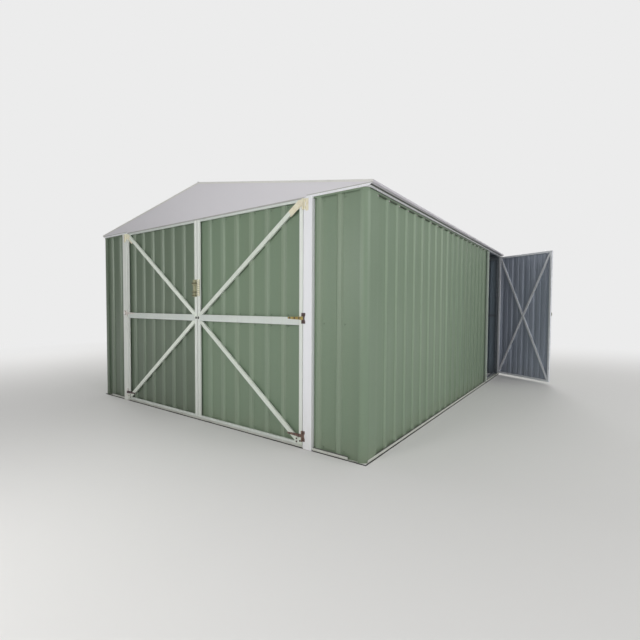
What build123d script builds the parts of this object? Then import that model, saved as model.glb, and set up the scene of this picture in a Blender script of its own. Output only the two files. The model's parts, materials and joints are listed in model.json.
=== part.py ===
from build123d import *
import math
import os

os.makedirs("parts", exist_ok=True)

# Metal storage shed with a gable end facing the front, a pair of hinged doors in
# that end and a single door in the right side wall.
# All sizes are in millimetres. +X runs to the right along the front, +Y to the rear
# and +Z up. The front face of the wall frame lies in the plane y = 0 and the ground
# in the plane z = 0.

# Overall size, measured over the cladding
shed_width = 4000.0
shed_depth = 5000.0
cladding_top = 2112.0
roof_pitch = 9.6
eave_rise = 28.0

# Ribbed cladding sheets
sheet_gauge = 1.5
rib_height = 18.5
rib_pitch = 200.0
rib_base = 62.0
rib_crest = 34.0
side_first_rib = 130.0
front_right_first_rib = 50.0
front_left_first_rib = 125.0

# Folded flashings and trims
flashing_gauge = 1.5
cladding_build_up = rib_height + flashing_gauge
corner_front_leg = 26.0
corner_side_leg = 130.0
corner_chamfer = 40.0
plain_chamfer = 12.0
plain_front_leg = 54.0
plain_side_leg = 80.0
rear_leg = 60.0
sheet_corner_gap = 1.0
front_trim_height = 16.0
front_trim_gap = 1.0
side_trim_height = 10.0
side_trim_gap = 8.0
eave_overhang = 46.0
eave_lip = 16.0
eave_return = 4.0
barge_drop = 16.0
barge_top_leg = 122.0
ridge_leg = 132.0
ridge_roll = 7.0

# Base rail, a channel that the posts and sheets stand in
rail_web = 3.0
rail_outer_lip = 25.0
rail_inner_lip = 40.0
rail_lip_gauge = 3.0
rail_clearance = 1.0
rail_lip_stop = 156.0

# Frame members
post_size = 40.0
post_corner_cut = 4.0
top_rail_depth = 44.0
eave_rail_drop = 8.0
girt_depth = 20.0
girt_height = 40.0
girt_level = 1060.0
purlin_width = 40.0
purlin_depth = 20.0
purlin_shares = (0.03, 0.34, 0.65)
rafter_depth = 40.0
ridge_beam_width = 60.0
ridge_beam_depth = 60.0

# Front doorway and its two leaves
doorway_share = 0.705
door_post_width = 90.0
door_post_proud = 43.0
leaf_clearance = 5.0
meeting_gap = 8.0
leaf_bottom = 34.0
leaf_head_drop = 10.0
leaf_frame_depth = 18.0
meeting_stile = 40.0
hinge_stile = 38.0
leaf_end_rail = 20.0
leaf_mid_rail = 66.0
leaf_mid_level = 1086.0
leaf_brace = 40.0
leaf_brace_depth = 14.0
right_leaf_first_rib = 165.0
left_leaf_first_rib = 134.0

# Latch of the front doors
latch_level = 1392.0
latch_height = 165.0
latch_width = 58.0
latch_overlap = 6.0
latch_set_back = 5.0
latch_band = 11.0
latch_bar_radius = 5.5

# Side doorway and its leaf
side_door_width = 975.0
side_trim = 14.0
side_leaf_gap = 6.0
side_leaf_head_drop = 14.0
side_frame_depth = 23.0
side_stile = 30.0
side_brace = 28.0
side_brace_depth = 20.0
side_leaf_open = 61.0

# Slide bolt of the side door
bolt_level = 1105.0
bolt_height = 50.0
bolt_length = 120.0

# Tee hinges
pin_radius = 4.0
knuckle_radius = 7.5
pin_clearance = 0.3
knuckle_length = 28.0
knuckle_gap = 1.0
hinge_plate_gauge = 3.0
hinge_plate_height = 90.0
hinge_plate_width = 26.0
hinge_plate_waist = 7.0
strap_gauge = 4.0
strap_length = 160.0
strap_tip = 16.0
strap_shoulder = 22.0
hinge_low = 112.0
hinge_middle = 1112.0
hinge_high_drop = 54.0

# Derived levels and planes
half_width = shed_width / 2
frame_x = half_width - cladding_build_up
eave_underside = cladding_top + eave_rise
eave_rail_bottom = cladding_top - eave_rail_drop
leaf_top = cladding_top - leaf_head_drop
side_leaf_top = cladding_top - side_leaf_head_drop
frame_rear = shed_depth - 2 * cladding_build_up
inner_x = frame_x - post_size
inner_rear = frame_rear - post_size
door_post_inner = half_width * doorway_share
door_post_outer = door_post_inner + door_post_width
side_jamb = inner_rear - side_door_width
hinge_levels = (hinge_low, hinge_middle, cladding_top - hinge_high_drop)
pitch = math.radians(roof_pitch)
slope = math.tan(pitch)
slant = math.cos(pitch)


def block(x0, x1, y0, y1, z0, z1):
    """Rectangular bar between two corners."""
    middle = ((x0 + x1) / 2, (y0 + y1) / 2, (z0 + z1) / 2)
    return Pos(*middle) * Box(abs(x1 - x0), abs(y1 - y0), abs(z1 - z0))


def roof_z(x, rise=0.0):
    """Height of the roof sheet's underside above x, plus a rise square to the slope."""
    return eave_underside + (half_width - abs(x)) * slope + rise / slant


def prism_y(points, y0, y1):
    """Outline given as (x, z) points, extruded from y0 to y1."""
    corners = [(x, 0, z) for x, z in points]
    wire = Wire.make_polygon([Vector(*c) for c in corners], close=True)
    solid = extrude(Face(wire), amount=abs(y1 - y0), dir=(0, 1, 0))
    return Pos(0, min(y0, y1), 0) * solid


def prism_z(points, z0, z1):
    """Outline given as (x, y) points, extruded from z0 to z1."""
    wire = Wire.make_polygon([Vector(x, y, 0) for x, y in points], close=True)
    solid = extrude(Face(wire), amount=z1 - z0, dir=(0, 0, 1))
    return Pos(0, 0, z0) * solid


def offset_line(points, gauge):
    """Open line moved to its left by the gauge, with mitred corners."""
    moved = []
    count = len(points)
    for i in range(count):
        normals = []
        for a, b in ((i - 1, i), (i, i + 1)):
            if a >= 0 and b < count:
                dx = points[b][0] - points[a][0]
                dy = points[b][1] - points[a][1]
                run = math.hypot(dx, dy)
                normals.append((-dy / run, dx / run))
        nx = sum(n[0] for n in normals) / len(normals)
        ny = sum(n[1] for n in normals) / len(normals)
        size = nx * nx + ny * ny
        moved.append((points[i][0] + gauge * nx / size, points[i][1] + gauge * ny / size))
    return moved


def folded(points, gauge):
    """Closed outline of a sheet of the given gauge folded along an open line."""
    return list(points) + list(reversed(offset_line(points, gauge)))


def rib_places(width, first=None):
    """Rib centres across a sheet, from a first rib or else centred on the sheet."""
    margin = rib_base / 2 + 4
    if first is None:
        count = int((width - 2 * 80.0) // rib_pitch) + 1
        first = (width - (count - 1) * rib_pitch) / 2
    places = []
    while first <= width - margin:
        if first >= margin:
            places.append(first)
        first += rib_pitch
    return places


def from_far_end(width, places):
    return sorted(width - place for place in places)


def rib_line(width, places):
    """Inner line of a ribbed sheet, as (along, outward) points."""
    depth = rib_height - sheet_gauge
    line = [(0.0, 0.0)]
    for centre in places:
        line.append((centre - rib_base / 2, 0.0))
        line.append((centre - rib_crest / 2, depth))
        line.append((centre + rib_crest / 2, depth))
        line.append((centre + rib_base / 2, 0.0))
    line.append((width, 0.0))
    return line


def wall_sheet(start, outward, width, places, z0, z1):
    """Ribbed sheet standing on its end; it runs from start along outward x up."""
    line = folded(rib_line(width, places), sheet_gauge)
    plane = Plane(origin=start, x_dir=outward.cross(Vector(0, 0, 1)), z_dir=(0, 0, 1))
    corners = [plane.from_local_coords(Vector(u, v, 0)) for u, v in line]
    face = Face(Wire.make_polygon(corners, close=True))
    return Pos(0, 0, z0) * extrude(face, amount=z1 - z0, dir=(0, 0, 1))


def save(shape, name):
    shape.label = name
    export_step(shape, "parts/" + name + ".step")


def group(*pieces):
    return Compound(children=list(pieces))


def mirrored(piece):
    return mirror(piece, about=Plane.YZ)


# Base rails
rail_out_front = -cladding_build_up - rail_clearance - rail_lip_gauge
rail_in_front = post_size + rail_clearance + rail_lip_gauge
rail_out_x = half_width + rail_clearance + rail_lip_gauge
rail_in_x = inner_x - rail_clearance - rail_lip_gauge


def cross_rail(doorway, right_cut):
    """Base rail across an end of the shed, laid out for the front."""
    web = [
        (plain_chamfer - rail_out_x, rail_out_front), (rail_out_x - right_cut, rail_out_front),
        (rail_out_x, rail_out_front + right_cut), (rail_out_x, rail_in_front),
        (-rail_out_x, rail_in_front), (-rail_out_x, rail_out_front + plain_chamfer),
    ]
    rail = prism_z(web, 0, rail_web)
    outer_y = rail_out_front + rail_lip_gauge
    lip_end = half_width - rail_lip_stop
    if doorway:
        spans = [(-lip_end, -door_post_outer - rail_clearance)]
        spans.append((-door_post_inner + rail_clearance, door_post_inner - rail_clearance))
        spans.append((door_post_outer + rail_clearance, lip_end))
    else:
        spans = [(-lip_end, lip_end)]
    for x0, x1 in spans:
        rail += block(x0, x1, rail_out_front, outer_y, 0, rail_outer_lip)
    inner_y = rail_in_front - rail_lip_gauge
    rail += block(-rail_in_x, rail_in_x, inner_y, rail_in_front, 0, rail_inner_lip)
    for side, cut in ((-1, plain_chamfer), (1, right_cut)):
        x0 = side * (rail_out_x - rail_lip_gauge)
        y0 = rail_out_front + cut
        rail += block(x0, side * rail_out_x, y0, rail_in_front, 0, rail_outer_lip)
    return rail


base_rail_front = cross_rail(True, corner_chamfer)
base_rail_rear = Pos(0, frame_rear, 0) * mirror(cross_rail(False, plain_chamfer), about=Plane.XZ)

side_rails = []
for side in (-1, 1):
    y0 = rail_in_front
    y1 = frame_rear - rail_in_front
    rail = block(side * rail_in_x, side * rail_out_x, y0, y1, 0, rail_web)
    lip = side * (rail_out_x - rail_lip_gauge)
    rail += block(lip, side * rail_out_x, y0, y1, 0, rail_outer_lip)
    lip = side * (rail_in_x + rail_lip_gauge)
    rail += block(side * rail_in_x, lip, y0, y1, 0, rail_inner_lip)
    side_rails.append(rail)

# Wall framing
corner_posts = []
for side in (-1, 1):
    for y_out, y_in in ((0.0, post_size), (frame_rear, inner_rear)):
        cut = post_corner_cut if y_in > y_out else -post_corner_cut
        outline = [
            (side * inner_x, y_in), (side * inner_x, y_out),
            (side * (frame_x - post_corner_cut), y_out), (side * frame_x, y_out + cut),
            (side * frame_x, y_in),
        ]
        corner_posts.append(prism_z(outline, rail_web, eave_rail_bottom))

top_rail_bottom = eave_rail_bottom - top_rail_depth
door_post = block(
    door_post_inner, door_post_outer, 0, post_size, rail_web, top_rail_bottom
) + block(
    door_post_inner, door_post_outer, -door_post_proud, 0, rail_web, cladding_top - 1
)

top_rails = [
    block(-inner_x, inner_x, y0, y0 + post_size, top_rail_bottom, eave_rail_bottom)
    for y0 in (0.0, inner_rear)
]

eave_rails = []
for side in (-1, 1):
    outline = [
        (side * inner_x, eave_rail_bottom),
        (side * frame_x, eave_rail_bottom),
        (side * frame_x, roof_z(frame_x)),
        (side * inner_x, roof_z(inner_x)),
    ]
    eave_rails.append(prism_y(outline, post_corner_cut, frame_rear - post_corner_cut))

# Near jamb with its folded trim, and the packing strip that carries the hinges
near_jamb = block(inner_x, frame_x, side_jamb - post_size, side_jamb, rail_web, eave_rail_bottom)
near_jamb += block(
    frame_x, half_width, side_jamb - side_trim, side_jamb, rail_web, cladding_top - 1
)
side_pin_y = inner_rear + 4.0
hinge_pack_y = side_pin_y + 5.0
hinge_pack = block(
    frame_x, half_width - flashing_gauge, hinge_pack_y, frame_rear, rail_web, cladding_top
)

half_stud = post_size / 2


def bays(start, end, count):
    """Clear spans between count equal bays with a stud on each inner line."""
    step = (end - start) / count
    spans = []
    for i in range(count):
        low = start + i * step + (half_stud if i > 0 else 0)
        high = start + (i + 1) * step - (half_stud if i < count - 1 else 0)
        spans.append((low, high))
    return spans


left_bays = bays(post_size, inner_rear, 3)
right_bays = bays(post_size, side_jamb - post_size, 3)
rear_bays = bays(-inner_x, inner_x, 3)
wall_studs = []
for side, side_bays in ((-1, left_bays), (1, right_bays)):
    for i in range(2):
        y0 = side_bays[i][1]
        y1 = side_bays[i + 1][0]
        wall_studs.append(
            block(side * inner_x, side * frame_x, y0, y1, rail_web, eave_rail_bottom)
        )
for i in range(2):
    x0 = rear_bays[i][1]
    x1 = rear_bays[i + 1][0]
    wall_studs.append(block(x0, x1, inner_rear, frame_rear, rail_web, top_rail_bottom))

girt_z0 = girt_level - girt_height / 2
girt_z1 = girt_level + girt_height / 2
wall_girts = []
for y0, y1 in left_bays:
    wall_girts.append(block(-frame_x, -frame_x + girt_depth, y0, y1, girt_z0, girt_z1))
for y0, y1 in right_bays:
    wall_girts.append(block(frame_x - girt_depth, frame_x, y0, y1, girt_z0, girt_z1))
for x0, x1 in rear_bays:
    wall_girts.append(block(x0, x1, frame_rear - girt_depth, frame_rear, girt_z0, girt_z1))
for side in (-1, 1):
    x0 = side * door_post_outer
    wall_girts.append(block(x0, side * inner_x, 0, girt_depth, girt_z0, girt_z1))

# Roof framing
beam_half = ridge_beam_width / 2
beam_top = roof_z(beam_half, -purlin_depth)
ridge_beam = block(
    -beam_half, beam_half, 0, frame_rear, beam_top - ridge_beam_depth, beam_top
)

roof_rafters = []
rafter_lines = [half_stud, left_bays[0][1] + half_stud, left_bays[1][1] + half_stud]
rafter_lines.append(frame_rear - half_stud)
for i, y in enumerate(rafter_lines):
    at_gable = i in (0, 3)
    for side in (-1, 1):
        low = roof_z(inner_x, -purlin_depth - rafter_depth)
        outline = [
            (side * beam_half, roof_z(beam_half, -purlin_depth)),
            (side * inner_x, roof_z(inner_x, -purlin_depth)),
        ]
        if at_gable:
            # The end rafters stand on the top rail
            reach = inner_x - (eave_rail_bottom - low) / slope
            outline.append((side * inner_x, eave_rail_bottom))
            outline.append((side * reach, eave_rail_bottom))
        else:
            outline.append((side * inner_x, low))
        outline.append((side * beam_half, roof_z(beam_half, -purlin_depth - rafter_depth)))
        roof_rafters.append(prism_y(outline, y - half_stud, y + half_stud))

roof_purlins = []
for share in purlin_shares:
    x0 = half_width * share
    x1 = x0 + purlin_width
    for side in (-1, 1):
        outline = [
            (side * x0, roof_z(x0)), (side * x1, roof_z(x1)),
            (side * x1, roof_z(x1, -purlin_depth)), (side * x0, roof_z(x0, -purlin_depth)),
        ]
        roof_purlins.append(prism_y(outline, 0, frame_rear))

# Wall cladding
sheet_foot = rail_web
plain_inset = cladding_build_up + sheet_corner_gap
sheet_edge = half_width - flashing_gauge


def front_sheet(inset, first_rib):
    """Right front panel, with its first rib that far from the door post."""
    width = half_width - inset - door_post_outer
    places = from_far_end(width, rib_places(width, first_rib))
    return wall_sheet(
        (half_width - inset, 0, 0), Vector(0, -1, 0), width, places, sheet_foot, cladding_top
    )


def side_sheet(inset, end_y):
    """Right wall cladding from the front corner to end_y."""
    width = end_y - inset + cladding_build_up
    places = rib_places(width, side_first_rib + corner_chamfer - inset)
    places = from_far_end(width, places)
    return wall_sheet(
        (frame_x, end_y, 0), Vector(1, 0, 0), width, places, sheet_foot, cladding_top
    )


wall_sheet_front_right = front_sheet(corner_chamfer, front_right_first_rib)
wall_sheet_front_left = mirrored(front_sheet(plain_inset, front_left_first_rib))
sheet_half = half_width - plain_inset
wall_sheet_rear = wall_sheet(
    (-sheet_half, frame_rear, 0), Vector(0, 1, 0), 2 * sheet_half, rib_places(2 * sheet_half),
    sheet_foot, cladding_top,
)
wall_sheet_right = side_sheet(corner_chamfer, side_jamb - side_trim)
wall_sheet_left = mirrored(side_sheet(plain_inset, frame_rear - sheet_corner_gap))


def corner_flashing(front_leg, side_leg, chamfer, front_return=0.0, side_return=0.0):
    """Folded corner with a flattened nose, laid out for the front right corner.

    A leg that ends over a pan turns back to it by its return.
    """
    face_x = half_width - flashing_gauge
    face_y = flashing_gauge - cladding_build_up
    nose = chamfer - 0.4 * flashing_gauge
    line = [
        (face_x - nose - front_leg, face_y),
        (face_x - nose, face_y),
        (face_x, face_y + nose),
        (face_x, face_y + nose + side_leg),
    ]
    if front_return:
        line.insert(0, (line[0][0], line[0][1] + front_return))
    if side_return:
        line.append((line[-1][0] - side_return, line[-1][1]))
    return prism_z(folded(line, -flashing_gauge), rail_web, cladding_top)


wide_corner = corner_flashing(corner_front_leg, corner_side_leg, corner_chamfer)
pan_return = rib_height - sheet_gauge - 1.0
plain_corner = corner_flashing(
    plain_front_leg, plain_side_leg, plain_chamfer, pan_return, pan_return
)
rear_corner = corner_flashing(rear_leg, rear_leg, plain_chamfer, pan_return)
hinge_corner_leg = frame_rear + cladding_build_up - plain_chamfer - hinge_pack_y - 6.0
hinge_corner = corner_flashing(rear_leg, hinge_corner_leg, plain_chamfer, pan_return)
rear_flip = Pos(0, frame_rear, 0)
corner_flashings = [
    wide_corner,
    mirrored(plain_corner),
    rear_flip * mirror(mirrored(rear_corner), about=Plane.XZ),
    rear_flip * mirror(hinge_corner, about=Plane.XZ),
]

# Light trims over the top of the cladding, cut into lengths at the corners
rear_half = half_width - plain_chamfer
far_corner_y = frame_rear + cladding_build_up - plain_chamfer
front_trim_top = cladding_top - front_trim_gap
side_trim_top = cladding_top - side_trim_gap
trim_joint = 1.0


def front_top_trim(chamfer):
    """Trim over the right front panel that runs on round the corner's nose."""
    line = [
        (door_post_outer, -cladding_build_up), (half_width - chamfer, -cladding_build_up),
        (half_width, chamfer - cladding_build_up),
    ]
    bottom = front_trim_top - front_trim_height
    return prism_z(folded(line, -flashing_gauge), bottom, front_trim_top)


wall_top_trims = [front_top_trim(corner_chamfer), mirrored(front_top_trim(plain_chamfer))]
trim_face = half_width + flashing_gauge
for side, chamfer, end in ((1, corner_chamfer, side_jamb), (-1, plain_chamfer, far_corner_y)):
    start = chamfer - cladding_build_up + trim_joint
    wall_top_trims.append(
        block(
            side * half_width, side * trim_face, start, end,
            side_trim_top - side_trim_height, side_trim_top,
        )
    )
rear_trim_y = frame_rear + cladding_build_up
wall_top_trims.append(
    block(
        -rear_half, rear_half, rear_trim_y, rear_trim_y + flashing_gauge,
        side_trim_top - side_trim_height, side_trim_top,
    )
)

# Roof cladding
roof_edge_x = half_width + eave_overhang - 10.0
ridge_start = 16.0
roof_front = -cladding_build_up
roof_rear = frame_rear + cladding_build_up


def roof_sheet():
    """Right-hand roof sheet, ribs running down the slope."""
    down = Vector(math.cos(pitch), 0, -math.sin(pitch))
    start = Vector(ridge_start, roof_front, roof_z(ridge_start))
    plane = Plane(origin=start, x_dir=(0, 1, 0), z_dir=down)
    width = roof_rear - roof_front
    line = folded(rib_line(width, rib_places(width)), sheet_gauge)
    corners = [plane.from_local_coords(Vector(u, v, 0)) for u, v in line]
    face = Face(Wire.make_polygon(corners, close=True))
    return extrude(face, amount=(roof_edge_x - ridge_start) / slant, dir=down)


roof_sheet_right = roof_sheet()
roof_sheet_left = mirrored(roof_sheet_right)

crest = rib_height
roll_steps = 8
cap_line = [(-ridge_leg, roof_z(ridge_leg, crest))]
roll_z = roof_z(ridge_roll, crest)
for i in range(roll_steps + 1):
    turn = math.pi * (1 - i / roll_steps)
    cap_line.append((ridge_roll * math.cos(turn), roll_z + ridge_roll * 0.9 * math.sin(turn)))
cap_line.append((ridge_leg, roof_z(ridge_leg, crest)))
ridge_cap = prism_y(folded(cap_line, flashing_gauge), roof_front - 2 * flashing_gauge,
                    roof_rear + 2 * flashing_gauge)

panel_end = half_width + eave_overhang


def barge(face_y, inner_y):
    """Folded barge flashing over both slopes of one gable; face_y is its outer face."""
    back_y = face_y + flashing_gauge * (1 if inner_y > face_y else -1)
    face_line = [
        (-panel_end, roof_z(panel_end, crest)),
        (0, roof_z(0, crest)),
        (panel_end, roof_z(panel_end, crest)),
        (panel_end, roof_z(panel_end, crest - barge_drop)),
        (0, roof_z(0, crest - barge_drop)),
        (-panel_end, roof_z(panel_end, crest - barge_drop)),
    ]
    piece = prism_y(face_line, face_y, back_y)
    for side in (-1, 1):
        x0 = side * (ridge_leg + 0.5)
        x1 = side * panel_end
        top = [
            (x0, roof_z(x0, crest)),
            (x1, roof_z(x1, crest)),
            (x1, roof_z(x1, crest + flashing_gauge)),
            (x0, roof_z(x0, crest + flashing_gauge)),
        ]
        piece += prism_y(top, face_y, inner_y)
    return piece


panel_back = -cladding_build_up
panel_front = panel_back - flashing_gauge
barge_front = panel_front - flashing_gauge
barge_flashings = [
    barge(barge_front, barge_front + barge_top_leg),
    barge(frame_rear - barge_front, frame_rear - barge_front - barge_top_leg),
]

tip = panel_end
lip_foot = roof_z(tip, crest) - eave_lip
soffit_x = half_width + eave_return
lower_fold = [(tip, lip_foot), (soffit_x, cladding_top), (frame_x, cladding_top)]
eave_flashings = []
for side in (-1, 1):
    line = [
        (half_width - 22.0, roof_z(half_width - 22.0, crest + flashing_gauge)),
        (tip, roof_z(tip, crest + flashing_gauge)),
    ] + lower_fold
    outline = [(side * x, z) for x, z in folded(line, -flashing_gauge)]
    y0 = barge_front + barge_top_leg
    y1 = frame_rear - y0
    eave = prism_y(outline, y0, y1)
    # Under the barge's top leg the eave flashing has no top leg of its own
    line = [(tip, roof_z(tip, crest))] + lower_fold
    outline = [(side * x, z) for x, z in folded(line, -flashing_gauge)]
    eave += prism_y(outline, panel_back, y0)
    eave += prism_y(outline, y1, frame_rear - panel_back)
    eave_flashings.append(eave)


def gable_panel():
    """Flat infill panel of the front gable, with a flange folded back along its foot."""
    outline = [
        (-soffit_x, cladding_top), (soffit_x, cladding_top), (tip, lip_foot),
        (tip, roof_z(tip, crest)), (0, roof_z(0, crest)), (-tip, roof_z(tip, crest)),
        (-tip, lip_foot),
    ]
    panel = prism_y(outline, panel_front, panel_back)
    flange = block(
        -frame_x, frame_x, panel_back, 0, cladding_top, cladding_top + flashing_gauge
    )
    return panel + flange


gable_panel_front = gable_panel()
gable_panel_rear = Pos(0, frame_rear, 0) * mirror(gable_panel(), about=Plane.XZ)

# Front leaves
leaf_edge = door_post_inner - leaf_clearance
leaf_inner = meeting_gap / 2
leaf_sheet_back = -leaf_clearance
leaf_sheet_front = leaf_sheet_back - rib_height
leaf_face = leaf_sheet_front - leaf_frame_depth

right_stiles = [
    block(leaf_inner, leaf_inner + meeting_stile, leaf_face, leaf_sheet_front, leaf_bottom, leaf_top),
    block(leaf_edge - hinge_stile, leaf_edge, leaf_face, leaf_sheet_front, leaf_bottom, leaf_top),
]
window_x0 = leaf_inner + meeting_stile
window_x1 = leaf_edge - hinge_stile
mid_z0 = leaf_mid_level - leaf_mid_rail / 2
mid_z1 = leaf_mid_level + leaf_mid_rail / 2
right_rails = [
    block(window_x0, window_x1, leaf_face, leaf_sheet_front, leaf_bottom, leaf_bottom + leaf_end_rail),
    block(window_x0, window_x1, leaf_face, leaf_sheet_front, mid_z0, mid_z1),
    block(window_x0, window_x1, leaf_face, leaf_sheet_front, leaf_top - leaf_end_rail, leaf_top),
]


def brace(x0, z0, x1, z1, width, window, y0, y1):
    """Flat diagonal between two points, trimmed to the window it fills."""
    run = math.hypot(x1 - x0, z1 - z0)
    nx = -(z1 - z0) / run * width / 2
    nz = (x1 - x0) / run * width / 2
    ex = (x1 - x0) / run * 60
    ez = (z1 - z0) / run * 60
    outline = [
        (x0 - ex + nx, z0 - ez + nz),
        (x1 + ex + nx, z1 + ez + nz),
        (x1 + ex - nx, z1 + ez - nz),
        (x0 - ex - nx, z0 - ez - nz),
    ]
    bar = prism_y(outline, y0, y1)
    return bar & block(window[0], window[1], y0, y1, window[2], window[3])


lower_window = (window_x0, window_x1, leaf_bottom + leaf_end_rail, mid_z0)
upper_window = (window_x0, window_x1, mid_z1, leaf_top - leaf_end_rail)
right_braces = [
    brace(
        window_x0, lower_window[3], window_x1, lower_window[2],
        leaf_brace, lower_window, leaf_sheet_front - leaf_brace_depth, leaf_sheet_front,
    ),
    brace(
        window_x0, upper_window[2], window_x1, upper_window[3],
        leaf_brace, upper_window, leaf_sheet_front - leaf_brace_depth, leaf_sheet_front,
    ),
]
sheet_inset = 1.0
leaf_sheet_width = leaf_edge - leaf_inner - 2 * sheet_inset


def leaf_sheet(places):
    """Ribbed sheet of the right leaf; places are measured from its hinge side."""
    return wall_sheet(
        (leaf_edge - sheet_inset, leaf_sheet_back, 0), Vector(0, -1, 0), leaf_sheet_width,
        places, leaf_bottom, leaf_top,
    )


right_places = rib_places(leaf_sheet_width, right_leaf_first_rib)
right_door_sheet = leaf_sheet(from_far_end(leaf_sheet_width, right_places))
left_door_sheet = mirrored(leaf_sheet(rib_places(leaf_sheet_width, left_leaf_first_rib)))

# Hinges of the right leaf: pin on the post, just in front of the faces
front_pin_x = door_post_inner - leaf_clearance / 2
front_pin_y = -door_post_proud - knuckle_radius - 1.0


def knuckle(x, y, z0, z1, bore):
    barrel = Pos(x, y, (z0 + z1) / 2) * Cylinder(knuckle_radius, z1 - z0)
    if bore > 0:
        barrel -= Pos(x, y, (z0 + z1) / 2) * Cylinder(bore, z1 - z0 + 2)
    return barrel


def plate_outline(x0, z):
    """Waisted hinge plate from its pin edge at x0, notched for the strap's knuckle."""
    half = hinge_plate_height / 2
    waist = knuckle_length / 2 + knuckle_gap
    x1 = x0 + hinge_plate_width
    notch = x0 + knuckle_radius - pin_clearance
    flank = half * 0.55
    neck = half * 0.18
    return [
        (x0, z - half), (x1, z - half), (x1, z - flank), (x1 - hinge_plate_waist, z - neck),
        (x1 - hinge_plate_waist, z + neck), (x1, z + flank), (x1, z + half), (x0, z + half),
        (x0, z + waist), (notch, z + waist), (notch, z - waist), (x0, z - waist),
    ]


def strap_outline(x0, z, length, lean=0.0):
    """Tapered strap that runs length away from the pin at x0, leaning down by an angle."""
    half = knuckle_length / 2
    tip_half = strap_tip / 2
    shoulder = x0 - strap_shoulder
    tail = [(length, tip_half), (length + tip_half, 0.0), (length, -tip_half)]
    outline = [(x0, z + half), (shoulder, z + half)]
    for run, rise in tail:
        run -= strap_shoulder
        outline.append((
            shoulder - run * math.cos(lean) - rise * math.sin(lean),
            z - run * math.sin(lean) + rise * math.cos(lean),
        ))
    return outline + [(shoulder, z - half), (x0, z - half)]


def with_pin(plate, x, y, z):
    """Adds the fixed knuckles and the pin between them to a plate."""
    half = hinge_plate_height / 2
    waist = knuckle_length / 2 + knuckle_gap
    plate += knuckle(x, y, z - half, z - waist, 0)
    plate += knuckle(x, y, z + waist, z + half, 0)
    return plate + Pos(x, y, z) * Cylinder(pin_radius, 2 * waist + 2)


def with_knuckle(piece, x, y, z):
    """Adds the turning knuckle and its bore to a strap."""
    half = knuckle_length / 2
    piece += knuckle(x, y, z - half, z + half, 0)
    return piece - Pos(x, y, z) * Cylinder(pin_radius + pin_clearance, knuckle_length + 2)


def post_plate(z):
    """Plate on the door post, with its two knuckles and the pin."""
    outline = plate_outline(front_pin_x + pin_clearance, z)
    plate = prism_y(outline, -door_post_proud - hinge_plate_gauge, -door_post_proud)
    return with_pin(plate, front_pin_x, front_pin_y, z)


def strap(z, length, lean=0.0):
    """Strap on the leaf, with the knuckle that turns on the pin."""
    outline = strap_outline(front_pin_x, z, length, lean)
    piece = prism_y(outline, leaf_face - strap_gauge, leaf_face)
    return with_knuckle(piece, front_pin_x, front_pin_y, z)


right_plates = [post_plate(z) for z in hinge_levels]
# The top strap lies along the upper brace
brace_angle = math.atan2(upper_window[3] - upper_window[2], window_x1 - window_x0)
right_straps = [strap(z, strap_length) for z in hinge_levels[:2]]
right_straps.append(strap(hinge_levels[2], strap_length, brace_angle))

# Latch on the meeting stile of the left leaf: a plate, three bands and a bar
latch_x1 = -leaf_inner - latch_set_back
latch_x0 = latch_x1 - latch_width
latch_z0 = latch_level - latch_height / 2
latch_z1 = latch_level + latch_height / 2
latch_face = leaf_face - strap_gauge
door_latch = block(latch_x0, latch_x1, latch_face, leaf_face, latch_z0, latch_z1)
for share in (0.08, 0.28, 0.76):
    z = latch_z0 + latch_height * share
    door_latch += block(
        latch_x0, latch_x1, latch_face - latch_band, latch_face,
        z - latch_band / 2, z + latch_band / 2,
    )
latch_bar_y = latch_face - latch_bar_radius - 0.5
latch_bar = Cylinder(latch_bar_radius, latch_height + 2 * latch_overlap)
door_latch += Pos(latch_x1 - latch_width * 0.36, latch_bar_y, latch_level) * latch_bar

# Side leaf
# Laid out closed, then turned open about its pin
side_y0 = side_jamb + side_leaf_gap
side_y1 = inner_rear - side_leaf_gap
side_back = frame_x - side_frame_depth
side_pin_x = half_width + knuckle_radius
side_bottom = leaf_bottom
side_window_z0 = side_bottom + side_stile
side_window_z1 = side_leaf_top - side_stile

side_stiles = [
    block(side_back, frame_x, side_y0, side_y0 + side_stile, side_bottom, side_leaf_top),
    block(side_back, frame_x, side_y1 - side_stile, side_y1, side_bottom, side_leaf_top),
]
side_rails_leaf = [
    block(side_back, frame_x, side_y0 + side_stile, side_y1 - side_stile, side_bottom, side_window_z0),
    block(side_back, frame_x, side_y0 + side_stile, side_y1 - side_stile, side_window_z1, side_leaf_top),
]


def side_bar(z_near, z_far):
    """One bar of the cross brace, from the free side to the hinge side."""
    y0 = side_y0 + side_stile
    y1 = side_y1 - side_stile
    run = math.hypot(y1 - y0, z_far - z_near)
    ny = -(z_far - z_near) / run * side_brace / 2
    nz = (y1 - y0) / run * side_brace / 2
    ey = (y1 - y0) / run * 50
    ez = (z_far - z_near) / run * 50
    corners = [
        Vector(0, y0 - ey + ny, z_near - ez + nz),
        Vector(0, y1 + ey + ny, z_far + ez + nz),
        Vector(0, y1 + ey - ny, z_far + ez - nz),
        Vector(0, y0 - ey - ny, z_near - ez - nz),
    ]
    bar = extrude(Face(Wire.make_polygon(corners, close=True)), amount=side_brace_depth, dir=(1, 0, 0))
    bar = Pos(frame_x - side_brace_depth, 0, 0) * bar
    window = block(
        frame_x - side_brace_depth - 1, frame_x + 1, y0, y1, side_window_z0, side_window_z1
    )
    return bar & window


side_cross = side_bar(side_window_z0, side_window_z1) + side_bar(side_window_z1, side_window_z0)
side_leaf_width = side_y1 - side_y0
side_door_sheet = wall_sheet(
    (frame_x, side_y1, 0), Vector(1, 0, 0), side_leaf_width, rib_places(side_leaf_width),
    side_bottom, side_leaf_top,
)


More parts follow.
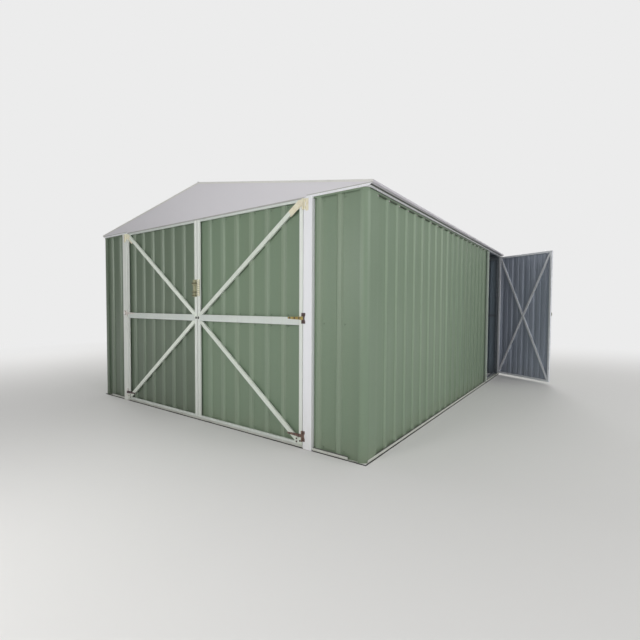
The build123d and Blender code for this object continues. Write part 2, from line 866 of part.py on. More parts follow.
def prism_x(points, x0, x1):
    """Outline given as (y, z) points, extruded from x0 to x1."""
    wire = Wire.make_polygon([Vector(x0, y, z) for y, z in points], close=True)
    return extrude(Face(wire), amount=x1 - x0, dir=(1, 0, 0))


def side_plate(z):
    outline = plate_outline(side_pin_y + pin_clearance, z)
    plate = prism_x(outline, half_width, half_width + hinge_plate_gauge)
    return with_pin(plate, side_pin_x, side_pin_y, z)


def side_strap(z, length):
    outline = strap_outline(side_pin_y, z, length)
    piece = prism_x(outline, sheet_edge, sheet_edge + strap_gauge)
    return with_knuckle(piece, side_pin_x, side_pin_y, z)


side_plates = [side_plate(z) for z in hinge_levels]
side_straps = [side_strap(z, strap_length) for z in hinge_levels]

# Flat slide bolt on the outer side of the leaf: a plate, two keepers and a bar
bolt_z0 = bolt_level - bolt_height / 2
bolt_z1 = bolt_level + bolt_height / 2
bolt_y0 = side_y0 + strap_gauge
bolt_y1 = bolt_y0 + bolt_length
bolt_face = sheet_edge + strap_gauge
side_bolt = block(sheet_edge, bolt_face, bolt_y0, bolt_y1, bolt_z0, bolt_z1)
for y in (bolt_y0 + bolt_height / 2, bolt_y1 - bolt_height / 2):
    side_bolt += block(
        bolt_face, bolt_face + latch_band, y - latch_band / 2, y + latch_band / 2,
        bolt_z0, bolt_z1,
    )
side_bolt += block(
    bolt_face, bolt_face + latch_band / 2, bolt_y0, bolt_y1 + bolt_height / 4,
    bolt_level - latch_band, bolt_level + latch_band,
)

side_hinge_line = Axis((side_pin_x, side_pin_y, 0), (0, 0, 1))


def opened(piece):
    return piece.rotate(side_hinge_line, side_leaf_open)


# The parts
save(base_rail_front, "base_rail_front")
save(base_rail_rear, "base_rail_rear")
save(group(*side_rails), "base_rails_side")
save(group(*corner_posts), "corner_posts")
save(mirrored(door_post), "door_post_left")
save(door_post, "door_post_right")
save(group(near_jamb, hinge_pack), "side_door_jambs")
save(group(*top_rails), "top_rails")
save(group(*eave_rails), "eave_rails")
save(group(*wall_studs), "wall_studs")
save(group(*wall_girts), "wall_girts")
save(ridge_beam, "ridge_beam")
save(group(*roof_rafters), "roof_rafters")
save(group(*roof_purlins), "roof_purlins")
save(roof_sheet_left, "roof_sheet_left")
save(roof_sheet_right, "roof_sheet_right")
save(ridge_cap, "ridge_cap")
save(group(*barge_flashings), "barge_flashings")
save(group(*eave_flashings), "eave_flashings")
save(gable_panel_front, "gable_panel_front")
save(gable_panel_rear, "gable_panel_rear")
save(wall_sheet_front_left, "wall_sheet_front_left")
save(wall_sheet_front_right, "wall_sheet_front_right")
save(wall_sheet_right, "wall_sheet_right")
save(wall_sheet_left, "wall_sheet_left")
save(wall_sheet_rear, "wall_sheet_rear")
save(group(*corner_flashings), "corner_flashings")
save(group(*wall_top_trims), "wall_top_trims")
save(
    group(*right_plates, *[mirrored(p) for p in right_plates], *side_plates),
    "hinge_post_plates",
)

save(group(*[mirrored(p) for p in right_stiles]), "left_door_stiles")
save(group(*[mirrored(p) for p in right_rails]), "left_door_rails")
save(group(*[mirrored(p) for p in right_braces]), "left_door_braces")
save(left_door_sheet, "left_door_sheet")
save(group(*[mirrored(p) for p in right_straps]), "left_door_straps")
save(door_latch, "door_latch")

save(group(*right_stiles), "right_door_stiles")
save(group(*right_rails), "right_door_rails")
save(group(*right_braces), "right_door_braces")
save(right_door_sheet, "right_door_sheet")
save(group(*right_straps), "right_door_straps")

save(group(*[opened(p) for p in side_stiles]), "side_door_stiles")
save(group(*[opened(p) for p in side_rails_leaf]), "side_door_rails")
save(opened(side_cross), "side_door_brace")
save(opened(side_door_sheet), "side_door_sheet")
save(group(*[opened(p) for p in side_straps]), "side_door_straps")
save(opened(side_bolt), "side_door_bolt")
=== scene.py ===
import bpy
import bmesh
import json
import math
from mathutils import Matrix, Vector
from types import SimpleNamespace


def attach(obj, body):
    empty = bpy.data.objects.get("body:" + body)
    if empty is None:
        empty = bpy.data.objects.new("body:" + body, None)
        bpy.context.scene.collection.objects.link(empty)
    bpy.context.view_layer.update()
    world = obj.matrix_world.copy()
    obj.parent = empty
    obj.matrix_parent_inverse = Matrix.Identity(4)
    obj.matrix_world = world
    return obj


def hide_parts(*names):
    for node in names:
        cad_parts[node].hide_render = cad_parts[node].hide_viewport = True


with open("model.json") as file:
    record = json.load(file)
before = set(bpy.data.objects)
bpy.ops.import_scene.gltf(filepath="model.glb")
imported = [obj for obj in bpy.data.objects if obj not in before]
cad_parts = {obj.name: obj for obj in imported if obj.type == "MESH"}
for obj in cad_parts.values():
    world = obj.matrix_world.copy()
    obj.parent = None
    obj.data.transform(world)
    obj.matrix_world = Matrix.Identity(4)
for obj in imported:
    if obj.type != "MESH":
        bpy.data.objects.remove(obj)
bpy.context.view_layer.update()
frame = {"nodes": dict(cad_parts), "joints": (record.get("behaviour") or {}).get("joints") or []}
nodes = frame["nodes"]

UP = Vector((0, 0, 1))
RIGHT = Vector((1, 0, 0))
LEFT = Vector((-1, 0, 0))
BACK = Vector((0, 1, 0))
FRONT = Vector((0, -1, 0))
LEAVES = ((1, "right_door"), (-1, "left_door"))
ROOF_SHEETS = (("roof_sheet_right", 1), ("roof_sheet_left", -1))
ROOF_PITCH = math.radians(9.6)


# Camera

def place_camera():
    """Stands the camera off the near right corner of the shed, as fitted to the photo."""
    yaw, pitch, roll = (math.radians(angle) for angle in (35.515, -2.091, 0.298))
    place = Vector((3.3992, -2.5844, 1.2156))
    across = Vector((math.cos(yaw), math.sin(yaw), 0))
    ahead = Vector((-math.sin(yaw), math.cos(yaw), 0))
    forward = ahead * math.cos(pitch) + UP * math.sin(pitch)
    upward = UP * math.cos(pitch) - ahead * math.sin(pitch)
    right = across * math.cos(roll) + upward * math.sin(roll)
    top = upward * math.cos(roll) - across * math.sin(roll)
    camera = bpy.data.cameras.new("view")
    camera.sensor_width = 36
    camera.lens = 21.648
    holder = bpy.data.objects.new("view", camera)
    bpy.context.scene.collection.objects.link(holder)
    holder.matrix_world = Matrix((
        (right.x, top.x, -forward.x, place.x),
        (right.y, top.y, -forward.y, place.y),
        (right.z, top.z, -forward.z, place.z),
        (0, 0, 0, 1),
    ))
    bpy.context.scene.camera = holder


place_camera()
bpy.context.scene.view_settings.view_transform = "Standard"


# Colours and shader helpers

def tone(red, green, blue):
    """Colour for a socket from 0 to 255 display values."""
    def linear(value):
        value /= 255
        return value / 12.92 if value <= 0.04045 else ((value + 0.055) / 1.055) ** 2.4
    return (linear(red), linear(green), linear(blue), 1.0)


BLACK = (0.0, 0.0, 0.0, 1.0)
WHITE = (1.0, 1.0, 1.0, 1.0)


def add(tree, kind, links=(), **settings):
    """Adds a shader node; links maps its inputs to values or to other sockets."""
    made = tree.nodes.new(kind)
    for key, value in settings.items():
        setattr(made, key, value)
    for key, value in dict(links).items():
        if isinstance(value, bpy.types.NodeSocket):
            tree.links.new(value, made.inputs[key])
        else:
            made.inputs[key].default_value = value
    return made


def calc(tree, operation, first, second, clamp=False):
    """Arithmetic on two values or sockets."""
    made = add(tree, "ShaderNodeMath", {0: first, 1: second}, operation=operation, use_clamp=clamp)
    return made.outputs[0]


def times(tree, first, second, clamp=False):
    """Product of two values or sockets."""
    return calc(tree, "MULTIPLY", first, second, clamp)


def plus(tree, first, second, clamp=False):
    """Sum of two values or sockets."""
    return calc(tree, "ADD", first, second, clamp)


def blend_colour(tree, amount, first, second, mode="MIX"):
    """Mixes two colours by an amount."""
    made = add(tree, "ShaderNodeMix", {0: amount, 6: first, 7: second},
               data_type="RGBA", blend_type=mode)
    return made.outputs[2]


def stretch(tree, vector, scale, turn=(0, 0, 0)):
    """Pattern coordinates stretched and turned on the piece."""
    made = add(tree, "ShaderNodeMapping", {"Vector": vector, "Scale": scale, "Rotation": turn})
    return made.outputs["Vector"]


def cloud(tree, vector, scale, detail=3.0, rough=0.55, low=0.35, high=0.65):
    """Soft noise, spread over 0 to 1 between two of its levels."""
    noise = add(tree, "ShaderNodeTexNoise",
                {"Vector": vector, "Scale": scale, "Detail": detail, "Roughness": rough})
    span = add(tree, "ShaderNodeMapRange", {
        "Value": noise.outputs["Fac"], "From Min": low, "From Max": high,
    })
    return span.outputs["Result"]


def new_group(name, inputs):
    """Node group with named inputs; every group gives a colour, a roughness and a height."""
    group = bpy.data.node_groups.new(name, "ShaderNodeTree")
    for label, value in inputs:
        kind = ("NodeSocketVector" if value is None
                else "NodeSocketColor" if isinstance(value, tuple) else "NodeSocketFloat")
        socket = group.interface.new_socket(label, in_out="INPUT", socket_type=kind)
        if value is not None:
            socket.default_value = value
    for label, kind in (("Colour", "NodeSocketColor"), ("Roughness", "NodeSocketFloat"),
                        ("Height", "NodeSocketFloat")):
        group.interface.new_socket(label, in_out="OUTPUT", socket_type=kind)
    start = group.nodes.new("NodeGroupInput")
    end = group.nodes.new("NodeGroupOutput")
    return group, start.outputs, end.inputs


def make_coat_group():
    """Weathered coil coating: cast, run-off streaks, splash dirt and a fine grain."""
    tree, given, result = new_group("weathered_coating", [
        ("Place", None),
        ("Fall", None),
        ("Coat", tone(200, 200, 200)),
        ("Cast", tone(190, 190, 190)),
        ("Dirt", tone(120, 115, 100)),
        ("Cast amount", 0.5),
        ("Band amount", 0.6),
        ("Streak amount", 0.1),
        ("Dirt height", 0.25),
        ("Dirt amount", 0.4),
        # painted shade that darkens the coat towards its foot
        ("Painted foot shade", 0.0),
        ("Sheen", 0.4),
    ])
    place, fall = given["Place"], given["Fall"]
    patches = cloud(tree, stretch(tree, place, (1.0, 1.0, 0.35)), 1.6, rough=0.5)
    bands = cloud(tree, stretch(tree, fall, (9.0, 9.0, 0.22)), 1.0,
                  detail=4.0, rough=0.6, low=0.38, high=0.64)
    runs = cloud(tree, stretch(tree, fall, (60.0, 60.0, 0.9)), 1.0,
                 rough=0.6, low=0.5, high=0.75)
    grain = cloud(tree, place, 420.0, detail=2.0, rough=0.5, low=0.3, high=0.7)
    cast = plus(tree, times(tree, times(tree, patches, 0.5), given["Cast amount"]),
                times(tree, bands, given["Band amount"]), clamp=True)
    shade = blend_colour(tree, cast, given["Coat"], given["Cast"])
    shade = blend_colour(tree, times(tree, runs, given["Streak amount"]), shade, given["Dirt"])
    shade = blend_colour(tree, times(tree, grain, 0.05), shade, WHITE)
    # Splash dirt at the foot, with a ragged upper edge
    level = add(tree, "ShaderNodeSeparateXYZ", {"Vector": place}).outputs["Z"]
    ragged = cloud(tree, place, 9.0, detail=5.0, rough=0.65, low=0.3, high=0.75)
    ragged = plus(tree, times(tree, ragged, 0.8), 0.2)
    rise = add(tree, "ShaderNodeMapRange", {
        "Value": level, "From Min": given["Dirt height"], "From Max": 0.0,
    }, interpolation_type="SMOOTHSTEP").outputs["Result"]
    splash = times(tree, times(tree, rise, ragged), given["Dirt amount"])
    shade = blend_colour(tree, splash, shade, given["Dirt"])
    # Painted shade: the coat darkens evenly from the eaves to the foot
    low = add(tree, "ShaderNodeMapRange", {"Value": level, "From Min": 2.1, "From Max": 0.0})
    painted_foot_gloom = times(tree, low.outputs["Result"], given["Painted foot shade"])
    shade = blend_colour(tree, painted_foot_gloom, shade, BLACK)
    tree.links.new(shade, result["Colour"])
    rough = plus(tree, given["Sheen"], times(tree, bands, 0.08))
    rough = plus(tree, rough, times(tree, splash, 0.35))
    rough = plus(tree, rough, times(tree, grain, 0.04), clamp=True)
    tree.links.new(rough, result["Roughness"])
    billow = cloud(tree, stretch(tree, place, (1.0, 1.0, 0.4)), 4.5,
                   detail=1.0, rough=0.4, low=0.0, high=1.0)
    tree.links.new(plus(tree, billow, times(tree, grain, 0.012)), result["Height"])
    return tree


def make_zinc_group():
    """Spangled zinc: crystal flakes of differing brightness, with dull white bloom."""
    tree, given, result = new_group("zinc_spangle", [
        ("Place", None),
        ("Bright", tone(170, 175, 182)),
        ("Dark", tone(135, 140, 148)),
        ("Bloom", tone(200, 203, 206)),
        ("Flake size", 55.0),
        ("Sheen", 0.4),
    ])
    flakes = add(tree, "ShaderNodeTexVoronoi",
                 {"Vector": given["Place"], "Scale": given["Flake size"]})
    pick = add(tree, "ShaderNodeSeparateColor", {"Color": flakes.outputs["Color"]}).outputs[0]
    shade = blend_colour(tree, pick, given["Dark"], given["Bright"])
    bloom = cloud(tree, given["Place"], 5.0, detail=5.0, rough=0.65, low=0.5, high=0.8)
    shade = blend_colour(tree, times(tree, bloom, 0.5), shade, given["Bloom"])
    tree.links.new(shade, result["Colour"])
    rough = plus(tree, given["Sheen"], times(tree, pick, 0.12))
    rough = plus(tree, rough, times(tree, bloom, 0.2), clamp=True)
    tree.links.new(rough, result["Roughness"])
    tree.links.new(times(tree, pick, 0.1), result["Height"])
    return tree


def make_tarnish_group():
    """Plated or bare fittings: plating that browns in patches and darkens to rust."""
    tree, given, result = new_group("tarnished_fitting", [
        ("Place", None),
        ("Clean", tone(150, 135, 70)),
        ("Brown", tone(120, 90, 55)),
        ("Rust", tone(80, 50, 35)),
        ("Wear", 0.5),
        ("Sheen", 0.4),
    ])
    broad = cloud(tree, given["Place"], 22.0, detail=4.0, rough=0.6)
    pits = cloud(tree, given["Place"], 160.0, detail=4.0, rough=0.7, low=0.45, high=0.7)
    worn = times(tree, broad, given["Wear"])
    shade = blend_colour(tree, worn, given["Clean"], given["Brown"])
    spots = times(tree, pits, times(tree, worn, 0.9), clamp=True)
    shade = blend_colour(tree, spots, shade, given["Rust"])
    tree.links.new(shade, result["Colour"])
    rough = plus(tree, given["Sheen"], times(tree, worn, 0.3))
    rough = plus(tree, rough, times(tree, pits, 0.1), clamp=True)
    tree.links.new(rough, result["Roughness"])
    tree.links.new(times(tree, pits, 0.2), result["Height"])
    return tree


coat_group = make_coat_group()
zinc_group = make_zinc_group()
tarnish_group = make_tarnish_group()


# Finishes

def finish(name, group, values, metallic, relief, turn=None, coat_weight=None):
    """Material that wears a group's colour, roughness and relief."""
    made = bpy.data.materials.new(name)
    made.use_nodes = True
    tree = made.node_tree
    tree.nodes.clear()
    place = add(tree, "ShaderNodeTexCoord").outputs["Object"]
    worn = add(tree, "ShaderNodeGroup", node_tree=group)
    tree.links.new(place, worn.inputs["Place"])
    if "Fall" in worn.inputs:
        fall = stretch(tree, place, (1, 1, 1), turn) if turn else place
        tree.links.new(fall, worn.inputs["Fall"])
    for key, value in values.items():
        worn.inputs[key].default_value = value
    strength, distance = relief
    bump = add(tree, "ShaderNodeBump", {
        "Height": worn.outputs["Height"], "Strength": strength, "Distance": distance,
    })
    surface = add(tree, "ShaderNodeBsdfPrincipled", {
        "Base Color": worn.outputs["Colour"], "Roughness": worn.outputs["Roughness"],
        "Normal": bump.outputs["Normal"], "Metallic": metallic,
    })
    if coat_weight is not None:
        surface.inputs["Coat Weight"].default_value = coat_weight
        surface.inputs["Coat Roughness"].default_value = 0.3
    out = add(tree, "ShaderNodeOutputMaterial")
    tree.links.new(surface.outputs[0], out.inputs["Surface"])
    return made


def wear(cast, band, streak, dirt_height, dirt, sheen, foot=0.0):
    """How strongly a coat shows its cast, bands, run-off, splash dirt, sheen and painted foot
    shade.
    """
    return {
        "Cast amount": cast, "Band amount": band, "Streak amount": streak,
        "Dirt height": dirt_height, "Dirt amount": dirt, "Sheen": sheen, "Painted foot shade": foot,
    }


def coating(name, coat, cast, dirt, worn, coat_weight=0.15, turn=None):
    """Coil coating or paint, by its own tone, the tone it weathers to and its dirt's."""
    values = {"Coat": tone(*coat), "Cast": tone(*cast), "Dirt": tone(*dirt), **worn}
    return finish(name, coat_group, values, 0.0, (0.14, 0.004), turn, coat_weight)


def zinc_coat(name, bright, dark, bloom, metallic, strength, flake=55.0):
    """Zinc by the tones of its bright and dark flakes and of its bloom."""
    values = {"Bright": tone(*bright), "Dark": tone(*dark), "Bloom": tone(*bloom),
              "Flake size": flake}
    return finish(name, zinc_group, values, metallic, (strength, 0.001))


def fitting(name, clean, brown, rust, worn, metallic, relief, sheen=0.4):
    """Plated, coated or rubber fitting, by its clean, browned and darkest tones."""
    values = {"Clean": tone(*clean), "Brown": tone(*brown), "Rust": tone(*rust),
              "Wear": worn, "Sheen": sheen}
    return finish(name, tarnish_group, values, metallic, relief)


# foot paints a shade that darkens a coat towards its foot; SHADED paints more of it
SUNNY = wear(cast=0.4, band=0.4, streak=0.10, dirt_height=0.25, dirt=0.3, sheen=0.38, foot=0.06)
SHADED = wear(cast=0.4, band=0.4, streak=0.12, dirt_height=0.25, dirt=0.3, sheen=0.36, foot=0.26)
FOLDED = wear(cast=0.5, band=0.4, streak=0.10, dirt_height=0.2, dirt=0.2, sheen=0.42)

green = coating("sage_green_coating", (113, 133, 108), (107, 128, 105), (118, 116, 95), SUNNY, 0.1)
# Lighter copy on the ribs' crests and flanks: a painted highlight
green_rib_painted_highlight = coating("sage_green_rib_painted_highlight", (126, 143, 120), (118, 138, 116), (122, 120, 99),
                    SUNNY, 0.1)
# Lighter copy for the right wall's near flanks: a painted highlight
green_flank_painted_highlight = coating("sage_green_flank_painted_highlight", (134, 152, 129), (126, 146, 122), (126, 124, 102),
                      SUNNY, 0.1)
# Darker copy for the right wall's far flanks: painted shade
green_flank_painted_shade = coating("sage_green_flank_painted_shade", (104, 121, 99), (98, 117, 96), (110, 108, 90),
                     wear(cast=0.4, band=0.4, streak=0.10,
                          dirt_height=0.25, dirt=0.3, sheen=0.42, foot=0.06), 0.05)
# Darker copy of the green for the left of the front and the left leaf: painted shade, with more
# painted shade towards the foot
green_painted_shade = coating("sage_green_painted_shade", (103, 119, 98), (96, 114, 94), (106, 103, 86),
                     SHADED, 0.1)
rib_highlight_in_painted_shade = coating("sage_green_rib_highlight_in_painted_shade", (120, 135, 115), (114, 131, 111), (110, 107, 90),
                   SHADED, 0.1)
backing = coating("blue_grey_backing", (116, 130, 142), (106, 121, 134), (102, 100, 94),
                  wear(cast=0.5, band=0.5, streak=0.12, dirt_height=0.35, dirt=0.3, sheen=0.5), 0.0)
# Lighter copy of the backing for the side leaf's inner face: painted light
leaf_backing_painted_light = coating("leaf_grey_backing_painted_light", (164, 172, 188), (150, 159, 176), (128, 124, 116),
                       wear(cast=0.6, band=0.6, streak=0.16,
                            dirt_height=0.35, dirt=0.3, sheen=0.42), 0.0)
white = coating("off_white_coating", (235, 235, 238), (226, 228, 232), (182, 176, 160),
                wear(cast=0.4, band=0.4, streak=0.10, dirt_height=0.6, dirt=0.25, sheen=0.4))
# Greener, darker copy of the off-white for the left post: painted shade, more of it towards the
# foot
white_left_painted_shade = coating("off_white_greener_painted_shade", (231, 234, 228), (222, 227, 220), (182, 178, 160),
                     wear(cast=0.4, band=0.4, streak=0.12,
                          dirt_height=0.6, dirt=0.25, sheen=0.4, foot=0.06))
frame_white = coating("leaf_frame_coating", (210, 216, 210), (202, 209, 205), (166, 162, 146),
                      wear(cast=0.5, band=0.4, streak=0.12, dirt_height=0.5, dirt=0.25, sheen=0.42))
# Lighter copy of the leaf frame coating on the stiles: painted light, with painted shade towards
# the foot
stile_white_painted_light = coating("leaf_stile_coating_painted_light", (230, 234, 227), (221, 227, 221), (172, 168, 152),
                      wear(cast=0.5, band=0.4, streak=0.12,
                           dirt_height=0.5, dirt=0.25, sheen=0.42, foot=0.12))
pale = coating("pale_brace_coating", (212, 220, 208), (218, 222, 214), (150, 150, 132),
               wear(cast=0.5, band=0.4, streak=0.16, dirt_height=0.4, dirt=0.3, sheen=0.42))
# Lighter copy of the brace coating for the left leaf: painted light, with painted shade towards the
# foot
pale_left_painted_light = coating("brace_coating_painted_light", (234, 240, 229), (226, 234, 222), (160, 160, 142),
                    wear(cast=0.5, band=0.4, streak=0.14,
                         dirt_height=0.4, dirt=0.3, sheen=0.42, foot=0.10))
jamb = coating("grey_green_jamb", (172, 182, 172), (160, 172, 162), (140, 138, 120),
               wear(cast=0.5, band=0.4, streak=0.12, dirt_height=0.3, dirt=0.3, sheen=0.42))
sill = coating("pale_sill_coating", (206, 211, 200), (212, 212, 210), (140, 134, 118),
               wear(cast=0.5, band=0.3, streak=0.2, dirt_height=0.05, dirt=0.5, sheen=0.45))
gable = coating("light_grey_gable", (214, 212, 216), (207, 205, 210), (166, 161, 150),
                wear(cast=0.5, band=0.0, streak=0.0, dirt_height=0.2, dirt=0.2, sheen=0.42))
edge_cream = coating("cream_edge_coating", (216, 215, 211), (206, 206, 202), (176, 170, 152),
                     FOLDED)
eave = coating("lilac_grey_eave", (196, 193, 199), (186, 183, 190), (140, 136, 128), FOLDED)
roof_grey = coating("light_grey_roof", (198, 200, 202), (186, 189, 190), (140, 138, 118),
                    wear(cast=0.5, band=0.5, streak=0.25,
                         dirt_height=0.2, dirt=0.2, sheen=0.42), turn=(0, math.radians(90), 0))

zinc = zinc_coat("zinc_frame", (126, 133, 140), (102, 108, 115), (150, 154, 158), 0.35, 0.2)
# Brightened zinc for the side leaf's frame: painted light
leaf_zinc_painted_light = zinc_coat("zinc_leaf_frame_painted_light", (234, 236, 241), (222, 225, 231), (238, 240, 243),
                      0.0, 0.2)
bolt_zinc = zinc_coat("plated_bolt", (214, 212, 206), (186, 184, 178), (200, 203, 206),
                      0.3, 0.1, 160.0)

# Relief of fittings: how strongly and how deep their pits show
SMOOTH, PITTED, RUSTY = (0.2, 0.001), (0.3, 0.001), (0.4, 0.001)
STRIP = (0.4, 0.002)
brass = fitting("yellow_plating", (176, 160, 92), (146, 126, 70), (92, 70, 44), 0.8, 0.35, PITTED)
khaki = fitting("dull_olive_plating", (168, 168, 138), (146, 144, 112), (104, 98, 74),
                0.6, 0.1, PITTED)
olive = fitting("dark_olive_band", (112, 110, 82), (96, 90, 66), (74, 66, 48), 0.6, 0.1, PITTED)
cream = fitting("cream_coated_hinge", (230, 226, 204), (220, 208, 172), (160, 136, 98),
                0.45, 0.0, SMOOTH)
bright_cream = fitting("bright_cream_heads", (240, 238, 216), (230, 222, 190), (170, 150, 110),
                       0.3, 0.0, SMOOTH)
knob_white = fitting("white_knob", (250, 249, 245), (242, 240, 232), (200, 190, 170),
                     0.2, 0.0, SMOOTH)
white_iron = fitting("white_coated_hinge", (222, 218, 214), (206, 196, 188), (150, 124, 104),
                     0.5, 0.0, SMOOTH)
brown_iron = fitting("browned_iron", (130, 108, 97), (110, 86, 76), (78, 56, 48), 0.9, 0.25, RUSTY)
dark_iron = fitting("dark_iron", (98, 86, 88), (84, 62, 56), (62, 42, 36), 0.7, 0.3, RUSTY)
grey_seal_and_painted_shadow = fitting("grey_strip_and_painted_shadow", (176, 176, 172), (164, 163, 158), (146, 144, 138),
                    0.5, 0.0, STRIP, 0.6)
dark_seal_and_painted_shadow = fitting("dark_strip_and_painted_shadow", (84, 86, 84), (92, 92, 88), (104, 102, 96),
                    0.5, 0.0, STRIP, 0.6)
green_foam_painted_shadow = fitting("green_grey_painted_shadow_foam", (92, 102, 89), (86, 95, 84), (98, 101, 88),
                     0.5, 0.0, STRIP, 0.7)
mastic_painted_shadow = fitting("black_painted_shadow_strip", (34, 35, 34), (46, 45, 42), (58, 56, 52),
                 0.5, 0.0, (0.5, 0.002), 0.6)
rubber = fitting("washer_rubber", (76, 84, 74), (82, 88, 80), (84, 87, 80), 0.5, 0.0, SMOOTH, 0.6)


# Mesh helpers

def merged_copy(node):
    """Working copy of a CAD node with its corners joined and its flat faces merged."""
    bm = bmesh.new()
    bm.from_mesh(nodes[node].data)
    bmesh.ops.remove_doubles(bm, verts=bm.verts, dist=1e-5)
    bmesh.ops.dissolve_limit(bm, angle_limit=math.radians(0.5), verts=bm.verts, edges=bm.edges)
    return bm


def round_edges(bm, edges, radius, segments=2):
    """Rounds chosen edges."""
    bmesh.ops.bevel(bm, geom=edges, offset=radius, offset_type="OFFSET", segments=segments,
                    profile=0.5, affect="EDGES", material=-1, clamp_overlap=True)


def soften(bm, radius, segments=2, angle=25.0, keep=None):
    """Rounds the edges that bend by more than an angle."""
    limit = math.radians(angle)
    edges = [e for e in bm.edges if len(e.link_faces) == 2 and e.calc_face_angle(0) > limit]
    if keep:
        edges = [e for e in edges if keep(e)]
    round_edges(bm, edges, radius, segments)


def cut(bm, place, way, clear=False):
    """Splits a mesh along a plane; clear takes off what lies past it."""
    bmesh.ops.bisect_plane(bm, geom=bm.verts[:] + bm.edges[:] + bm.faces[:], dist=1e-6,
                           plane_co=place, plane_no=way, clear_outer=clear)


def piece(name, bm, body, finishes, stands_for=(), angle=32.0):
    """Turns a worked mesh into a piece that rides on a body."""
    mesh = bpy.data.meshes.new(name)
    bm.to_mesh(mesh)
    bm.free()
    for one in finishes:
        mesh.materials.append(one)
    mesh.shade_smooth()
    mesh.set_sharp_from_angle(angle=math.radians(angle))
    made = bpy.data.objects.new(name, mesh)
    bpy.context.scene.collection.objects.link(made)
    shading = made.modifiers.new("even_shading", "WEIGHTED_NORMAL")
    shading.keep_sharp = True
    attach(made, body)
    if stands_for:
        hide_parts(*stands_for)
    return made


def facing(place, outward):
    """Matrix that stands a pattern's +Z along outward at a place."""
    turn = UP.rotation_difference(Vector(outward)).to_matrix().to_4x4()
    return Matrix.Translation(Vector(place)) @ turn


def turned_disc(bm, radius, top, depth, sides, foot=0.0, index=0):
    """Short cone frustum standing on foot."""
    made = bmesh.ops.create_cone(bm, cap_ends=True, segments=sides, radius1=radius, radius2=top,
                                 depth=depth)
    bmesh.ops.translate(bm, verts=made["verts"], vec=(0, 0, foot + depth / 2))
    for face in {f for v in made["verts"] for f in v.link_faces}:
        face.material_index = index
    return made["verts"]


def pattern_mesh(name, discs):
    """Small fastener turned up from discs of (radius, top, depth, sides, foot, finish)."""
    bm = bmesh.new()
    for disc in discs:
        turned_disc(bm, *disc)
    mesh = bpy.data.meshes.new(name)
    bm.to_mesh(mesh)
    bm.free()
    return mesh


# Hexagonal roofing screw on a bonded washer
screw = pattern_mesh("screw_pattern", [
    (0.0075, 0.0068, 0.0016, 12, 0.0, 1),
    (0.0064, 0.0052, 0.0012, 12, 0.0016, 0),
    (0.0045, 0.0041, 0.0042, 6, 0.0028, 0),
])
# Low domed rivet head
rivet = pattern_mesh("rivet_pattern", [
    (0.0048, 0.0040, 0.0012, 10, 0.0, 0),
    (0.0040, 0.0018, 0.0012, 10, 0.0012, 0),
])
# Cup-headed bolt with a soft dome
bolt = pattern_mesh("bolt_pattern", [
    (0.0085, 0.0076, 0.0020, 14, 0.0, 0),
    (0.0076, 0.0052, 0.0020, 14, 0.0020, 0),
    (0.0052, 0.0020, 0.0010, 14, 0.0040, 0),
])


def fasteners(name, body, looks, spots, pattern):
    """One piece of many like fasteners, each as (place, outward, look)."""
    bm = bmesh.new()
    for place, outward, look in spots:
        copy = pattern.copy()
        copy.transform(facing(place, outward))
        before = len(bm.faces)
        bm.from_mesh(copy)
        bm.faces.ensure_lookup_table()
        for face in bm.faces[before:]:
            face.material_index += look
        bpy.data.meshes.remove(copy)
    return piece(name, bm, body, looks, angle=40)


def turned_fitting(name, body, looks, place, sides, discs):
    """Round fitting on the front, turned up from discs of (foot, radius, top, depth, look)."""
    bm = bmesh.new()
    for foot, radius, top, depth, look in discs:
        made = turned_disc(bm, radius, top, depth, sides, foot, look)
        bmesh.ops.transform(bm, verts=made, matrix=facing(place, FRONT))
    piece(name, bm, body, looks, angle=40)


def bars(name, body, looks, boxes, radius=0.0):
    """One piece of several closed bars between opposite corners, softened where asked."""
    bm = bmesh.new()
    for corners in boxes:
        low, high = (Vector(tuple(map(pick, *corners))) for pick in (min, max))
        made = bmesh.ops.create_cube(bm, size=1.0)["verts"]
        bmesh.ops.scale(bm, vec=high - low, verts=made)
        bmesh.ops.translate(bm, vec=(low + high) / 2, verts=made)
    if radius:
        soften(bm, radius)
    return piece(name, bm, body, looks)


# Ribbed cladding

SHEET = 0.0009
CAD_GAUGE = 0.0015
PITCH = 0.2
# Half the width of a rib at its foot and on its crest, and the round of its bends
RIB_FOOT, RIB_TOP, BEND = 0.0315, 0.0172, 0.0026
# Where the swage starts and ends beside a rib
SWAGE = (0.084, 0.091)
CREST_SCREW_LEVEL = 2.078


